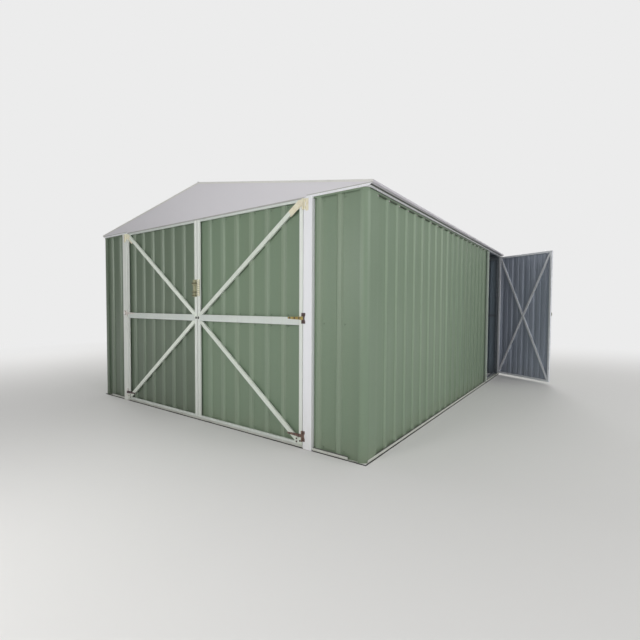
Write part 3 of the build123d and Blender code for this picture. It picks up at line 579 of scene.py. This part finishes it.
def ribbed(node, along, outward, upward, body, slot, finishes, swage=0.0, trim=0.0, fade=()):
    """Sheet with rounded bends, trapezoid ribs and, where asked, a swage in each pan.

    The finishes are those of the pans, the back and the ribs, and one more; a lighter rib
    finish is a painted highlight. Where fade is given as (reach, finish) steps, only the flanks
    of the ribs leave the finish of the pans, for a painted highlight near and painted shade far.
    """
    points = [[v.co.dot(way) for way in (along, outward, upward)]
              for v in nodes[node].data.vertices]
    runs, levels, heights = zip(*points)
    start, end = min(runs), max(runs) - trim
    crest, pan = max(levels), min(levels) + CAD_GAUGE
    low, high = min(heights), max(heights)
    bends = sorted({round(run, 4) for run, level, height in points if level > crest - 1e-4})
    centres = [(a + b) / 2 for a, b in zip(bends[::2], bends[1::2])]
    rib = [(-RIB_FOOT, 0), (-RIB_TOP, crest - pan), (RIB_TOP, crest - pan), (RIB_FOOT, 0)]
    flat = [(PITCH / 2, 0.0)]
    if swage:
        flat = [(SWAGE[0], 0), (SWAGE[1], swage), (PITCH / 2, swage)]
    profile = [(-u, n) for u, n in reversed(flat)] + rib + flat
    bm = bmesh.new()
    chain = [bm.verts.new(along * (centres[0] + u) + outward * (pan + n) + upward * low)
             for u, n in profile]
    edges = [bm.edges.new(pair) for pair in zip(chain, chain[1:])]
    if len(centres) > 1:
        bmesh.ops.spin(bm, geom=chain + edges, cent=(0, 0, 0), axis=(0, 0, 1), angle=0,
                       dvec=along * PITCH, steps=len(centres) - 1, use_duplicate=True)
        bmesh.ops.remove_doubles(bm, verts=bm.verts, dist=1e-4)
    # Both ends run on well past the sheet's edges, where they are cut off again below
    ends = [v for v in bm.verts if len(v.link_edges) == 1]
    ends.sort(key=lambda v: v.co.dot(along))
    for vert, way in zip(ends, (-1, 1)):
        for step, drop in ((0.009, 0.0), (0.007, swage), (0.2, 0.0)):
            grown = bmesh.ops.extrude_vert_indiv(bm, verts=[vert])["verts"][0]
            grown.co += along * (way * step) - outward * drop
            vert = grown
    bm.edges.ensure_lookup_table()
    wall = bmesh.ops.extrude_edge_only(bm, edges=bm.edges[:])["geom"]
    lifted = [g for g in wall if isinstance(g, bmesh.types.BMVert)]
    bmesh.ops.translate(bm, verts=lifted, vec=upward * (high - low))
    bmesh.ops.recalc_face_normals(bm, faces=bm.faces)
    round_edges(bm, [e for e in bm.edges if len(e.link_faces) == 2 and e.calc_face_angle(0) > 0.1],
                BEND)
    cut(bm, along * start, -along, clear=True)
    cut(bm, along * end, along, clear=True)
    for face in bm.faces:
        face.normal_update()
        if face.normal.dot(outward) < 0:
            face.normal_flip()
    bmesh.ops.solidify(bm, geom=bm.faces[:], thickness=SHEET)
    bm.normal_update()
    for face in bm.faces:
        out, middle = face.normal.dot(outward), face.calc_center_median()
        if out < -0.05:
            face.material_index = 1
        # crests and flanks of the ribs take the rib finish, a painted highlight where it is lighter
        elif out > 0.05 and middle.dot(outward) > pan + 0.003:
            if not fade:
                face.material_index = 2
            elif abs(face.normal.dot(along)) > 0.3:
                run = middle.dot(along)
                face.material_index = next(look for reach, look in fade if run < reach)
    skin = piece(node + "_skin", bm, body, finishes, (node,), 30)
    return SimpleNamespace(body=body, along=along, outward=outward, upward=upward, skin=skin,
                           centres=centres, pan=pan, crest=crest, far=high)


GREEN_SKIN = [green, backing, green_rib_painted_highlight, green_flank_painted_shade]
PAINTED_SHADE_SKIN = [green_painted_shade, backing, rib_highlight_in_painted_shade, green_flank_painted_shade]
NEAR_SKIN = [green, backing, green_flank_painted_highlight, green_flank_painted_shade]
# The right wall's flanks carry a painted highlight up to 2 m back, the pans' finish up to 2.7 m and
# painted shade beyond
FLANK_PAINTED_LIGHT_STEPS = ((2.0, 2), (2.7, 0), (9.0, 3))
WALL_ROWS = (0.05, 1.07, 2.07)
LEAF_ROWS = (0.07, 1.035, 1.135, 2.065)

side_range = next(j for j in frame["joints"] if j["name"] == "side_door_hinge")["range_deg"]
side_turn = Matrix.Rotation(math.radians(-side_range[0]), 4, "Z")
leaf_along = (side_turn @ FRONT).normalized()
leaf_out = (side_turn @ RIGHT).normalized()

clad = {}
for name, along, outward, body, looks, rows, extras in (
    ("wall_sheet_front_left", RIGHT, FRONT, "shed", PAINTED_SHADE_SKIN, WALL_ROWS, {}),
    ("wall_sheet_front_right", RIGHT, FRONT, "shed", GREEN_SKIN, WALL_ROWS, {"trim": 0.022}),
    ("wall_sheet_right", BACK, RIGHT, "shed", NEAR_SKIN, WALL_ROWS, {"fade": FLANK_PAINTED_LIGHT_STEPS}),
    ("wall_sheet_left", BACK, LEFT, "shed", GREEN_SKIN, WALL_ROWS, {}),
    ("wall_sheet_rear", RIGHT, BACK, "shed", GREEN_SKIN, WALL_ROWS, {}),
    ("left_door_sheet", RIGHT, FRONT, "left_door", PAINTED_SHADE_SKIN, LEAF_ROWS, {}),
    ("right_door_sheet", RIGHT, FRONT, "right_door", GREEN_SKIN, LEAF_ROWS, {}),
    ("side_door_sheet", leaf_along, leaf_out, "side_door", [green, leaf_backing_painted_light, green],
     (0.049, 2.083), {"swage": 0.006}),
):
    clad[name] = ribbed(name, along, outward, UP, body, "cladding_green", looks, **extras)
    clad[name].rows = rows

roof = {}
for name, side in ROOF_SHEETS:
    normal = Vector((side * math.sin(ROOF_PITCH), 0, math.cos(ROOF_PITCH)))
    down = Vector((side * math.cos(ROOF_PITCH), 0, -math.sin(ROOF_PITCH)))
    roof[name] = ribbed(name, BACK, normal, down, "shed", "roof_grey",
                        [roof_grey, backing, roof_grey])


# Foam closures in the pans under the edges of the ridge cap

foam = bmesh.new()
for name, side in ROOF_SHEETS:
    sheet = roof[name]
    cap_edge = max(v.co.dot(sheet.upward) for v in nodes["ridge_cap"].data.vertices)
    turn = Matrix.Rotation(side * ROOF_PITCH, 4, "Y")
    for near, far in zip(sheet.centres, sheet.centres[1:]):
        block = bmesh.ops.create_cube(foam, size=1.0)["verts"]
        bmesh.ops.scale(foam, verts=block, vec=(0.03, far - near - 0.052, sheet.crest - sheet.pan))
        middle = (sheet.upward * (cap_edge - 0.024) + sheet.outward * (sheet.pan + sheet.crest) / 2
                  + BACK * (near + far) / 2)
        bmesh.ops.transform(foam, verts=block, matrix=Matrix.Translation(middle) @ turn)
piece("ridge_closures", foam, "shed", [grey_seal_and_painted_shadow])


# Softened copies of the folded and framed pieces

for name, body, slot, look, radius in (
    ("corner_posts", "shed", "frame_galvanised", zinc, 0.003),
    ("door_post_left", "shed", "trim_white", white_left_painted_shade, 0.003),
    ("door_post_right", "shed", "trim_white", white, 0.003),
    ("side_door_jambs", "shed", "trim_white", jamb, 0.0015),
    ("top_rails", "shed", "frame_galvanised", zinc, 0.002),
    ("eave_rails", "shed", "frame_galvanised", zinc, 0.001),
    ("wall_studs", "shed", "frame_galvanised", zinc, 0.003),
    ("wall_girts", "shed", "frame_galvanised", zinc, 0.002),
    ("ridge_beam", "shed", "frame_galvanised", zinc, 0.003),
    ("roof_rafters", "shed", "frame_galvanised", zinc, 0.002),
    ("roof_purlins", "shed", "frame_galvanised", zinc, 0.002),
    ("ridge_cap", "shed", "roof_grey", roof_grey, 0.0005),
    ("barge_flashings", "shed", "trim_white", edge_cream, 0.0005),
    ("left_door_stiles", "left_door", "trim_white", stile_white_painted_light, 0.002),
    ("left_door_rails", "left_door", "trim_white", frame_white, 0.002),
    ("left_door_braces", "left_door", "trim_white", pale_left_painted_light, 0.0015),
    ("right_door_stiles", "right_door", "trim_white", stile_white_painted_light, 0.002),
    ("right_door_rails", "right_door", "trim_white", frame_white, 0.002),
    ("right_door_braces", "right_door", "trim_white", pale, 0.0015),
    ("side_door_stiles", "side_door", "leaf_frame_grey", leaf_zinc_painted_light, 0.002),
    ("side_door_rails", "side_door", "leaf_frame_grey", leaf_zinc_painted_light, 0.002),
    ("side_door_brace", "side_door", "leaf_frame_grey", leaf_zinc_painted_light, 0.0015),
):
    work = merged_copy(name)
    soften(work, radius)
    piece(name + "_formed", work, body, [look], (name,))


# Base rails: pale outside, bare zinc on the lip inside the shed
for name, depth in (
    ("base_rail_front", lambda place: place.y),
    ("base_rail_rear", lambda place: -place.y),
    ("base_rails_side", lambda place: -abs(place.x)),
):
    work = merged_copy(name)
    soften(work, 0.0008)
    lip = max(depth(v.co) for v in work.verts) - 0.0035
    for face in work.faces:
        face.material_index = int(depth(face.calc_center_median()) > lip)
    piece(name + "_formed", work, "shed", [sill, zinc], (name,))

# The eave flashing's soffit: lilac lip, a dark band of painted shadow in the fold, a pale hem band
# at the wall painted as a light line
HEM, FOLD = 2.0175, 2.0295
work = merged_copy("eave_flashings")
for x in (-HEM, -FOLD, HEM, FOLD):
    cut(work, (x, 0, 0), RIGHT)
soften(work, 0.0005)
for face in work.faces:
    reach = abs(face.calc_center_median().x)
    if face.normal.z < -0.3 and reach < FOLD:
        face.material_index = 1 if reach > HEM else 2
piece("eave_flashings_formed", work, "shed", [eave, dark_seal_and_painted_shadow, white],
      ("eave_flashings",))

# Over the gable sheets' foot beside the doorway: a grey band of painted shadow above a white band
LINE_FOOT, LINE_TOP, LINE_FROM = 2.130, 2.137, 1.425
for name in ("gable_panel_front", "gable_panel_rear"):
    work = merged_copy(name)
    for level in (LINE_FOOT, LINE_TOP):
        cut(work, (0, 0, level), UP)
    for x in (-LINE_FROM, LINE_FROM):
        cut(work, (x, 0, 0), RIGHT)
    soften(work, 0.0005)
    for face in work.faces:
        middle = face.calc_center_median()
        if abs(middle.x) > LINE_FROM and middle.z < LINE_TOP and abs(face.normal.y) > 0.9:
            face.material_index = 1 if middle.z > LINE_FOOT else 2
    piece(name + "_formed", work, "shed", [gable, grey_seal_and_painted_shadow, white], (name,))


def rounded_nose(edge):
    """True for the two upright folds of the broad corner's nose."""
    run = edge.verts[1].co - edge.verts[0].co
    middle = (edge.verts[0].co + edge.verts[1].co) / 2
    return abs(run.z) > 0.9 * run.length and middle.x > 1.95 and middle.y < 0.05


for name in ("corner_flashings", "wall_top_trims"):
    work = merged_copy(name)
    soften(work, 0.019, 6, 30, rounded_nose)
    for face in work.faces:
        middle = face.calc_center_median()
        # the front left corner wears the darker copy, which is painted shade
        face.material_index = int(middle.x < 0 and middle.y < 0)
    piece(name + "_formed", work, "shed", [green, green_painted_shade], (name,))


# Hinges and latches

# The six finishes that a hinge may wear, in the order of each hinge piece's slots
RIGHT_FOOT, MIDDLE_OR_SIDE, RIGHT_TOP, LEFT_MIDDLE, LEFT_FOOT, LEFT_TOP = range(6)


def hinge_look(middle):
    """Finish of a hinge by its side and height: dark at the foot, light at the top."""
    if middle.x > 1.9 or middle.y > 1:
        return MIDDLE_OR_SIDE
    if middle.z > 1.6:
        return RIGHT_TOP if middle.x > 0 else LEFT_TOP
    if middle.z > 0.6:
        return MIDDLE_OR_SIDE if middle.x > 0 else LEFT_MIDDLE
    return RIGHT_FOOT if middle.x > 0 else LEFT_FOOT


STRAP_LOOKS = [brown_iron, brass, cream, white_iron, dark_iron, bright_cream]
PLATE_LOOKS = [brown_iron, dark_iron, cream, white_iron, white_iron, bright_cream]
for name, body, slot, looks in (
    ("right_door_straps", "right_door", "hinge_brass", STRAP_LOOKS),
    ("left_door_straps", "left_door", "hinge_brass", STRAP_LOOKS),
    ("side_door_straps", "side_door", "hinge_brass", [brass] * 6),
    ("hinge_post_plates", "shed", "hinge_plate_dark", PLATE_LOOKS),
):
    work = merged_copy(name)
    soften(work, 0.0006)
    for face in work.faces:
        face.material_index = hinge_look(face.calc_center_median())
    piece(name + "_formed", work, body, looks, (name,))

for name, body in (("door_latch", "left_door"), ("side_door_bolt", "side_door")):
    work = merged_copy(name)
    soften(work, 0.0008)
    piece(name + "_formed", work, body, [khaki], (name,))


# Seals, closures and strips of painted shadow that the shed's frame carries

LIP_END = 1.846
SEAL_FOOT, SEAL_TOP = 0.0246, 0.0325
DAMP_TOP = 0.0045
CLOSURE_FOOT, CLOSURE_TOP = 2.0885, 2.0938
FOAM_FOOT, FOAM_TOP = 2.1045, 2.1115

# Dark beads on the base lips under the ribs' feet: painted shadow
bars("front_painted_shadow_beads", "shed", [dark_seal_and_painted_shadow], [
    ((-LIP_END, -0.0236, SEAL_FOOT), (-1.501, -0.0195, SEAL_TOP)),
    ((1.501, -0.0236, SEAL_FOOT), (LIP_END, -0.0195, SEAL_TOP)),
], 0.0015)
bars("foot_painted_shadow_beads", "shed", [dark_seal_and_painted_shadow], [
    ((-LIP_END, 4.9795, SEAL_FOOT), (LIP_END, 4.9836, SEAL_TOP)),
    ((1.9995, 0.14, SEAL_FOOT), (2.0036, 3.944, SEAL_TOP)),
    ((-2.0036, 0.14, SEAL_FOOT), (-1.9995, 4.82, SEAL_TOP)),
], 0.0015)
# Black strip under the base rails: painted shadow at their foot
bars("damp_course_painted_shadow", "shed", [mastic_painted_shadow], [
    ((-2.014, -0.034, 0.0), (2.014, -0.0245, DAMP_TOP)),
    ((2.0045, -0.024, 0.0), (2.014, 4.984, DAMP_TOP)),
    ((-2.014, -0.024, 0.0), (-2.0045, 4.984, DAMP_TOP)),
], 0.001)

# Foam in the pans at the heads of the walls, dark as painted shadow under the top trims
boxes = []
for name in ("wall_sheet_right", "wall_sheet_left", "wall_sheet_rear"):
    sheet = clad[name]
    for near, far in zip(sheet.centres, sheet.centres[1:]):
        boxes.append([
            sheet.along * run + sheet.outward * level + UP * height
            for run, level, height in ((near + 0.027, sheet.pan + 0.0002, CLOSURE_FOOT),
                                       (far - 0.027, sheet.crest - 0.002, CLOSURE_TOP))
        ])
bars("head_closures_painted_shadow", "shed", [green_foam_painted_shadow], boxes)
# Black foam strips between the walls' top trims and the eaves: painted shadow under the eaves
bars("eave_foam_painted_shadow", "shed", [mastic_painted_shadow], [
    ((1.9965, 0.024, FOAM_FOOT), (2.0, 3.944, FOAM_TOP)),
    ((-2.0, 0.0, FOAM_FOOT), (-1.9965, 4.96, FOAM_TOP)),
    ((-1.985, 4.976, FOAM_FOOT), (1.985, 4.98, FOAM_TOP)),
])


# Front leaves: straps over the braces and lips on the rails

LEAF_FACE = -0.0415
STRAP_FACE = -0.0435
STRAP_GAUGE, STRAP_RIB = 0.002, 0.0042
MIDDLE_LEVEL = 1.086
RAIL_FOOT, RAIL_TOP = 1.053, 1.119
BRACE_IN, BRACE_OUT = 0.044, 1.367
BRACE_FOOT, BRACE_HEAD = 0.054, 2.082
# Slope of the upper braces, and the way that they run
BRACE_RISE, BRACE_WAY = 0.728, (0.808, 0.589)


def slanted_bar(side, start, end, width, face, depth, limits):
    """Closed bar along a brace of one leaf, cut off at the leaf's or the window's edges."""
    start, end = Vector((side * start[0], 0, start[1])), Vector((side * end[0], 0, end[1]))
    run = (end - start).normalized()
    bm = bmesh.new()
    made = bmesh.ops.create_cube(bm, size=1.0)["verts"]
    bmesh.ops.scale(bm, vec=(2.2, depth, width), verts=made)
    turn = Matrix.Rotation(-math.atan2(run.z, run.x), 4, "Y")
    middle = (start + end) / 2 + Vector((0, face + depth / 2, 0))
    bm.transform(Matrix.Translation(middle) @ turn)
    x0, x1, z0, z1 = limits
    for place, outward in (
        ((side * x0, 0, 0), (-side, 0, 0)), ((side * x1, 0, 0), (side, 0, 0)),
        ((0, 0, z0), (0, 0, -1)), ((0, 0, z1), (0, 0, 1)),
    ):
        cut(bm, place, outward, clear=True)
        bmesh.ops.holes_fill(bm, edges=[e for e in bm.edges if e.is_boundary])
    return bm


def joined(parts):
    """One mesh out of several."""
    whole = bmesh.new()
    for part in parts:
        mesh = bpy.data.meshes.new("part")
        part.to_mesh(mesh)
        part.free()
        whole.from_mesh(mesh)
        bpy.data.meshes.remove(mesh)
    return whole


for side, body in LEAVES:
    parts = []
    for start, end, foot, head, reach, top in (
        ((BRACE_IN, RAIL_TOP), (BRACE_OUT, BRACE_HEAD), RAIL_TOP, BRACE_HEAD, 0.0052, 2.1005),
        ((BRACE_IN, RAIL_FOOT), (BRACE_OUT, BRACE_FOOT), BRACE_FOOT, RAIL_FOOT, 0.0445, 1.0525),
    ):
        parts.append(slanted_bar(side, start, end, 0.040, STRAP_FACE, STRAP_GAUGE,
                                 (reach, 1.4035, 0.036, top)))
        parts.append(slanted_bar(side, start, end, 0.036, LEAF_FACE, STRAP_RIB,
                                 (0.0442, 1.3668, foot + 0.0002, head - 0.0002)))
    work = joined(parts)
    soften(work, 0.0006)
    # The upper strap turns cream where it nears the top hinge
    cream_from = 1.262 if side > 0 else 1.325
    level = BRACE_HEAD - (BRACE_OUT - cream_from) * BRACE_RISE
    cut(work, (side * cream_from, 0, level), (side * BRACE_WAY[0], 0, BRACE_WAY[1]))
    for face in work.faces:
        middle = face.calc_center_median()
        past = ((abs(middle.x) - cream_from) * BRACE_WAY[0]
                + (middle.z - level) * BRACE_WAY[1])
        face.material_index = int(past > 0)
    piece(body + "_brace_straps", work, body,
          [pale, cream] if side > 0 else [pale_left_painted_light, bright_cream])
    bars(body + "_rail_lips", body, [frame_white], [
        ((side * 0.0445, front, low), (side * 1.3665, LEAF_FACE, high))
        for front, low, high in (
            (-0.0446, RAIL_FOOT, 1.067), (-0.0446, 1.107, RAIL_TOP),
            (STRAP_FACE, 0.0345, 0.0405), (STRAP_FACE, 2.0955, 2.1015),
        )
    ], 0.0008)


# Bolts of the hinges and where the braces cross

PIN_X = 1.4075
HINGE_LEVELS = (0.112, 1.112, 2.058)
HINGE_FACE = -0.0455
for side, body in LEAVES:
    spots = []
    for level, look in ((HINGE_LEVELS[0], 1), (HINGE_LEVELS[1], int(side > 0))):
        for run in (0.040, 0.090, 0.140):
            spots.append(((side * (PIN_X - run), HINGE_FACE, level), FRONT, look))
    lean = math.atan2(BRACE_HEAD - RAIL_TOP, BRACE_OUT - BRACE_IN)
    for run in (0.030, 0.078, 0.126):
        x = PIN_X - 0.022 - run * math.cos(lean)
        z = HINGE_LEVELS[2] - run * math.sin(lean)
        spots.append(((side * x, HINGE_FACE, z), FRONT, 2))
    fasteners(body + "_bolts", body, [bolt_zinc, dark_iron, cream],
              spots, bolt)
    turned_fitting(body + "_crossing_bolt", body, [dark_seal_and_painted_shadow],
                   (side * 0.0190, STRAP_FACE, MIDDLE_LEVEL), 16,
                   ((0.0, 0.0135, 0.0130, 0.0015, 0), (0.0015, 0.0085, 0.0060, 0.003, 0)))

# Plates at the leaves' lower outer corners
CORNER_FACE = -0.0456
for side, body in LEAVES:
    bars(body + "_corner_plate", body, [pale], [
        ((side * 1.322, CORNER_FACE, 0.040), (side * 1.400, CORNER_FACE + 0.002, 0.092)),
    ], 0.0008)
    fasteners(body + "_corner_bolts", body, [dark_iron], [
        ((side * x, CORNER_FACE, z), FRONT, 0)
        for x, z in ((1.345, 0.054), (1.345, 0.080), (1.384, 0.066))
    ], bolt)


# Latch bands and keeper, door seal, jamb cap and packers

LATCH_FACE = -0.0440
bars("latch_bands", "left_door", [olive], [
    ((-0.0715, -0.0582, low), (-0.0045, LATCH_FACE, high))
    for low, high in ((1.4395, 1.4545), (1.3500, 1.3590), (1.3140, 1.3235))
], 0.0012)
bars("latch_plate", "left_door", [khaki], [
    ((-0.0700, LATCH_FACE, 1.3050), (-0.0045, LEAF_FACE, 1.4860)),
], 0.0010)
bars("latch_keeper", "right_door", [khaki], [
    ((0.0045, -0.0450, 1.3120), (0.0425, LEAF_FACE, 1.4860)),
], 0.0010)
fasteners("keeper_rivets", "right_door", [bright_cream], [
    ((x, -0.0450, 1.322 + 0.0193 * step + rise), FRONT, 0)
    for step in range(9) for x, rise in ((0.0185, 0.0), (0.0335, 0.002))
], bolt)
bars("head_seal", "shed", [grey_seal_and_painted_shadow], [
    ((-1.409, -0.0240, 2.1075), (1.409, -0.0216, 2.1215)),
], 0.0008)
bars("side_jamb_cap", "shed", [jamb], [
    ((1.9996, 3.9030, 0.0270), (2.0220, 3.9430, 2.0880)),
], 0.0012)
bars("top_hinge_packers", "shed", [cream], [
    ((side * 1.4345, -0.0448, 2.0020), (side * 1.4630, -0.0430, 2.1020)) for side in (1, -1)
], 0.0006)


# Knob and plate bolts on the posts

turned_fitting("left_post_knob", "shed", [knob_white, brown_iron], (-1.462, -0.0430, 1.116), 18, (
    (0.0, 0.0260, 0.0250, 0.003, 1),
    (0.003, 0.0205, 0.0200, 0.004, 0),
    (0.007, 0.0200, 0.015, 0.003, 0),
))
spots = []
for rise in (-0.033, 0.033):
    for side in (-1, 1):
        for level, look in zip(HINGE_LEVELS, (1, int(side > 0), 2)):
            spots.append(((side * 1.4225, -0.046, level + rise), FRONT, look))
    for level in HINGE_LEVELS:
        spots.append(((2.003, 4.9385, level + rise), RIGHT, 3))
fasteners("hinge_plate_bolts", "shed",
          [white_iron, dark_iron, cream, bolt_zinc], spots, bolt)


# Screws through the cladding, in the pans beside the ribs and clear of the sheets' edges

BESIDE_RIB, EDGE_CLEARANCE = 0.045, 0.012
for name, sheet in clad.items():
    runs = [v.co.dot(sheet.along) for v in sheet.skin.data.vertices]
    first, last = min(runs) + EDGE_CLEARANCE, max(runs) - EDGE_CLEARANCE
    spots = [
        (sheet.along * (centre + BESIDE_RIB) + sheet.outward * sheet.pan + UP * level,
         sheet.outward, 0)
        for centre in sheet.centres if first < centre + BESIDE_RIB < last
        for level in sheet.rows
    ]
    if name in ("wall_sheet_right", "wall_sheet_left"):
        spots += [
            (sheet.along * centre + sheet.outward * sheet.crest + UP * CREST_SCREW_LEVEL,
             sheet.outward, 2)
            for centre in sheet.centres if first < centre < last
        ]
    fasteners(name + "_screws", sheet.body, [green, rubber, bolt_zinc, rubber],
              spots, screw)

for name, sheet in roof.items():
    fasteners(name + "_screws", "shed", [roof_grey, rubber], [
        (BACK * centre + sheet.outward * sheet.crest + sheet.upward * run, sheet.outward, 0)
        for centre in sheet.centres for run in (0.20, 0.70, 1.32, sheet.far - 0.06)
    ], screw)

# Look 1 is the darker copy of the green, painted shade, for the front left corner
fasteners("corner_rivets", "shed", [green, green_painted_shade], [
    ((x, y, 0.15 + 0.45 * step), outward, look)
    for step in range(5)
    for x, y, outward, look in (
        (1.945, -0.0200, FRONT, 0), (2.0000, 0.142, RIGHT, 0), (-1.955, -0.0200, FRONT, 1),
        (-2.0000, 0.050, LEFT, 0), (-1.950, 4.980, BACK, 0), (1.950, 4.980, BACK, 0),
        (-2.0000, 4.940, LEFT, 0),
    )
], rivet)
fasteners("gable_rivets", "shed", [gable], [
    ((side * (0.12 + 0.36 * step), -0.0215, 2.1185), FRONT, 0)
    for side in (-1, 1) for step in range(6)
], rivet)


# Floor and light

BACKDROP = tone(236, 236, 236)


def build_floor():
    """Pale studio floor that fades into the backdrop away from the shed."""
    bm = bmesh.new()
    bmesh.ops.create_circle(bm, cap_ends=True, segments=64, radius=60.0)
    mesh = bpy.data.meshes.new("studio_floor")
    bm.to_mesh(mesh)
    bm.free()
    made = bpy.data.materials.new("studio_floor")
    made.use_nodes = True
    tree = made.node_tree
    tree.nodes.clear()
    place = add(tree, "ShaderNodeTexCoord").outputs["Object"]
    offset = add(tree, "ShaderNodeMapping", {"Vector": place, "Location": (0.0, -2.5, 0.0)})
    far = add(tree, "ShaderNodeVectorMath", {0: offset.outputs[0]}, operation="LENGTH")
    fade = add(tree, "ShaderNodeMapRange", {
        "Value": far.outputs["Value"], "From Min": 4.2, "From Max": 10.5,
    }, interpolation_type="SMOOTHSTEP").outputs["Result"]
    path = add(tree, "ShaderNodeLightPath").outputs
    seen = calc(tree, "MAXIMUM", path["Is Camera Ray"], path["Is Glossy Ray"])
    seen = calc(tree, "MAXIMUM", seen, path["Is Transmission Ray"])
    plain = add(tree, "ShaderNodeBsdfPrincipled",
                {"Base Color": tone(218, 217, 215), "Roughness": 0.9})
    glow = add(tree, "ShaderNodeEmission", {"Color": BACKDROP, "Strength": 1.0})
    both = add(tree, "ShaderNodeMixShader", {
        0: times(tree, seen, fade), 1: plain.outputs[0], 2: glow.outputs[0],
    })
    out = add(tree, "ShaderNodeOutputMaterial")
    tree.links.new(both.outputs[0], out.inputs["Surface"])
    mesh.materials.append(made)
    floor = bpy.data.objects.new("studio_floor", mesh)
    bpy.context.scene.collection.objects.link(floor)


def build_world():
    """Soft sky light, brighter from above and from the right, behind an even backdrop."""
    world = bpy.data.worlds.new("studio")
    bpy.context.scene.world = world
    world.use_nodes = True
    tree = world.node_tree
    tree.nodes.clear()
    way = add(tree, "ShaderNodeTexCoord").outputs["Generated"]
    height = add(tree, "ShaderNodeSeparateXYZ", {"Vector": way}).outputs["Z"]
    rise = add(tree, "ShaderNodeMapRange", {"Value": height, "From Min": -0.1, "From Max": 0.8})
    sky = blend_colour(tree, rise.outputs["Result"], (0.36, 0.36, 0.36, 1), (0.92, 0.92, 0.93, 1))
    aside = add(tree, "ShaderNodeVectorMath", {0: way, 1: (0.75, 0.35, 0.0)},
                operation="DOT_PRODUCT").outputs["Value"]
    share = add(tree, "ShaderNodeMapRange", {
        "Value": aside, "From Min": -0.8, "From Max": 0.8, "To Min": 0.40, "To Max": 1.15,
    }).outputs["Result"]
    sky = blend_colour(tree, 1.0, sky, share, "MULTIPLY")
    path = add(tree, "ShaderNodeLightPath").outputs
    lit = add(tree, "ShaderNodeBackground", {"Color": sky, "Strength": 0.68})
    shown = add(tree, "ShaderNodeBackground", {"Color": BACKDROP, "Strength": 1.0})
    both = add(tree, "ShaderNodeMixShader", {
        0: path["Is Camera Ray"], 1: lit.outputs[0], 2: shown.outputs[0],
    })
    out = add(tree, "ShaderNodeOutputWorld")
    tree.links.new(both.outputs[0], out.inputs["Surface"])


def soft_box(name, place, aim, size, power):
    """Round area lamp at a place, turned towards its aim."""
    lamp = bpy.data.lights.new(name, "AREA")
    lamp.shape = "DISK"
    lamp.size = size
    lamp.energy = power
    holder = bpy.data.objects.new(name, lamp)
    holder.visible_camera = False
    bpy.context.scene.collection.objects.link(holder)
    place, aim = Vector(place), Vector(aim)
    turn = (place - aim).to_track_quat("Z", "Y").to_matrix().to_4x4()
    holder.matrix_world = Matrix.Translation(place) @ turn


build_floor()
build_world()
soft_box("key", (0.8, -3.6, 1.9), (0.85, 0.0, 0.95), 1.4, 42)
soft_box("near", (3.6, -4.5, 2.1), (1.7, 0.0, 1.1), 1.0, 44)
soft_box("side", (9.5, 0.7, 4.4), (2.0, 1.8, 1.0), 7.0, 290)
soft_box("fill", (-9.0, 1.0, 5.0), (-2.0, 2.5, 1.0), 5.0, 260)
soft_box("rear", (1.0, 13.0, 5.5), (0.0, 5.0, 1.0), 5.0, 360)
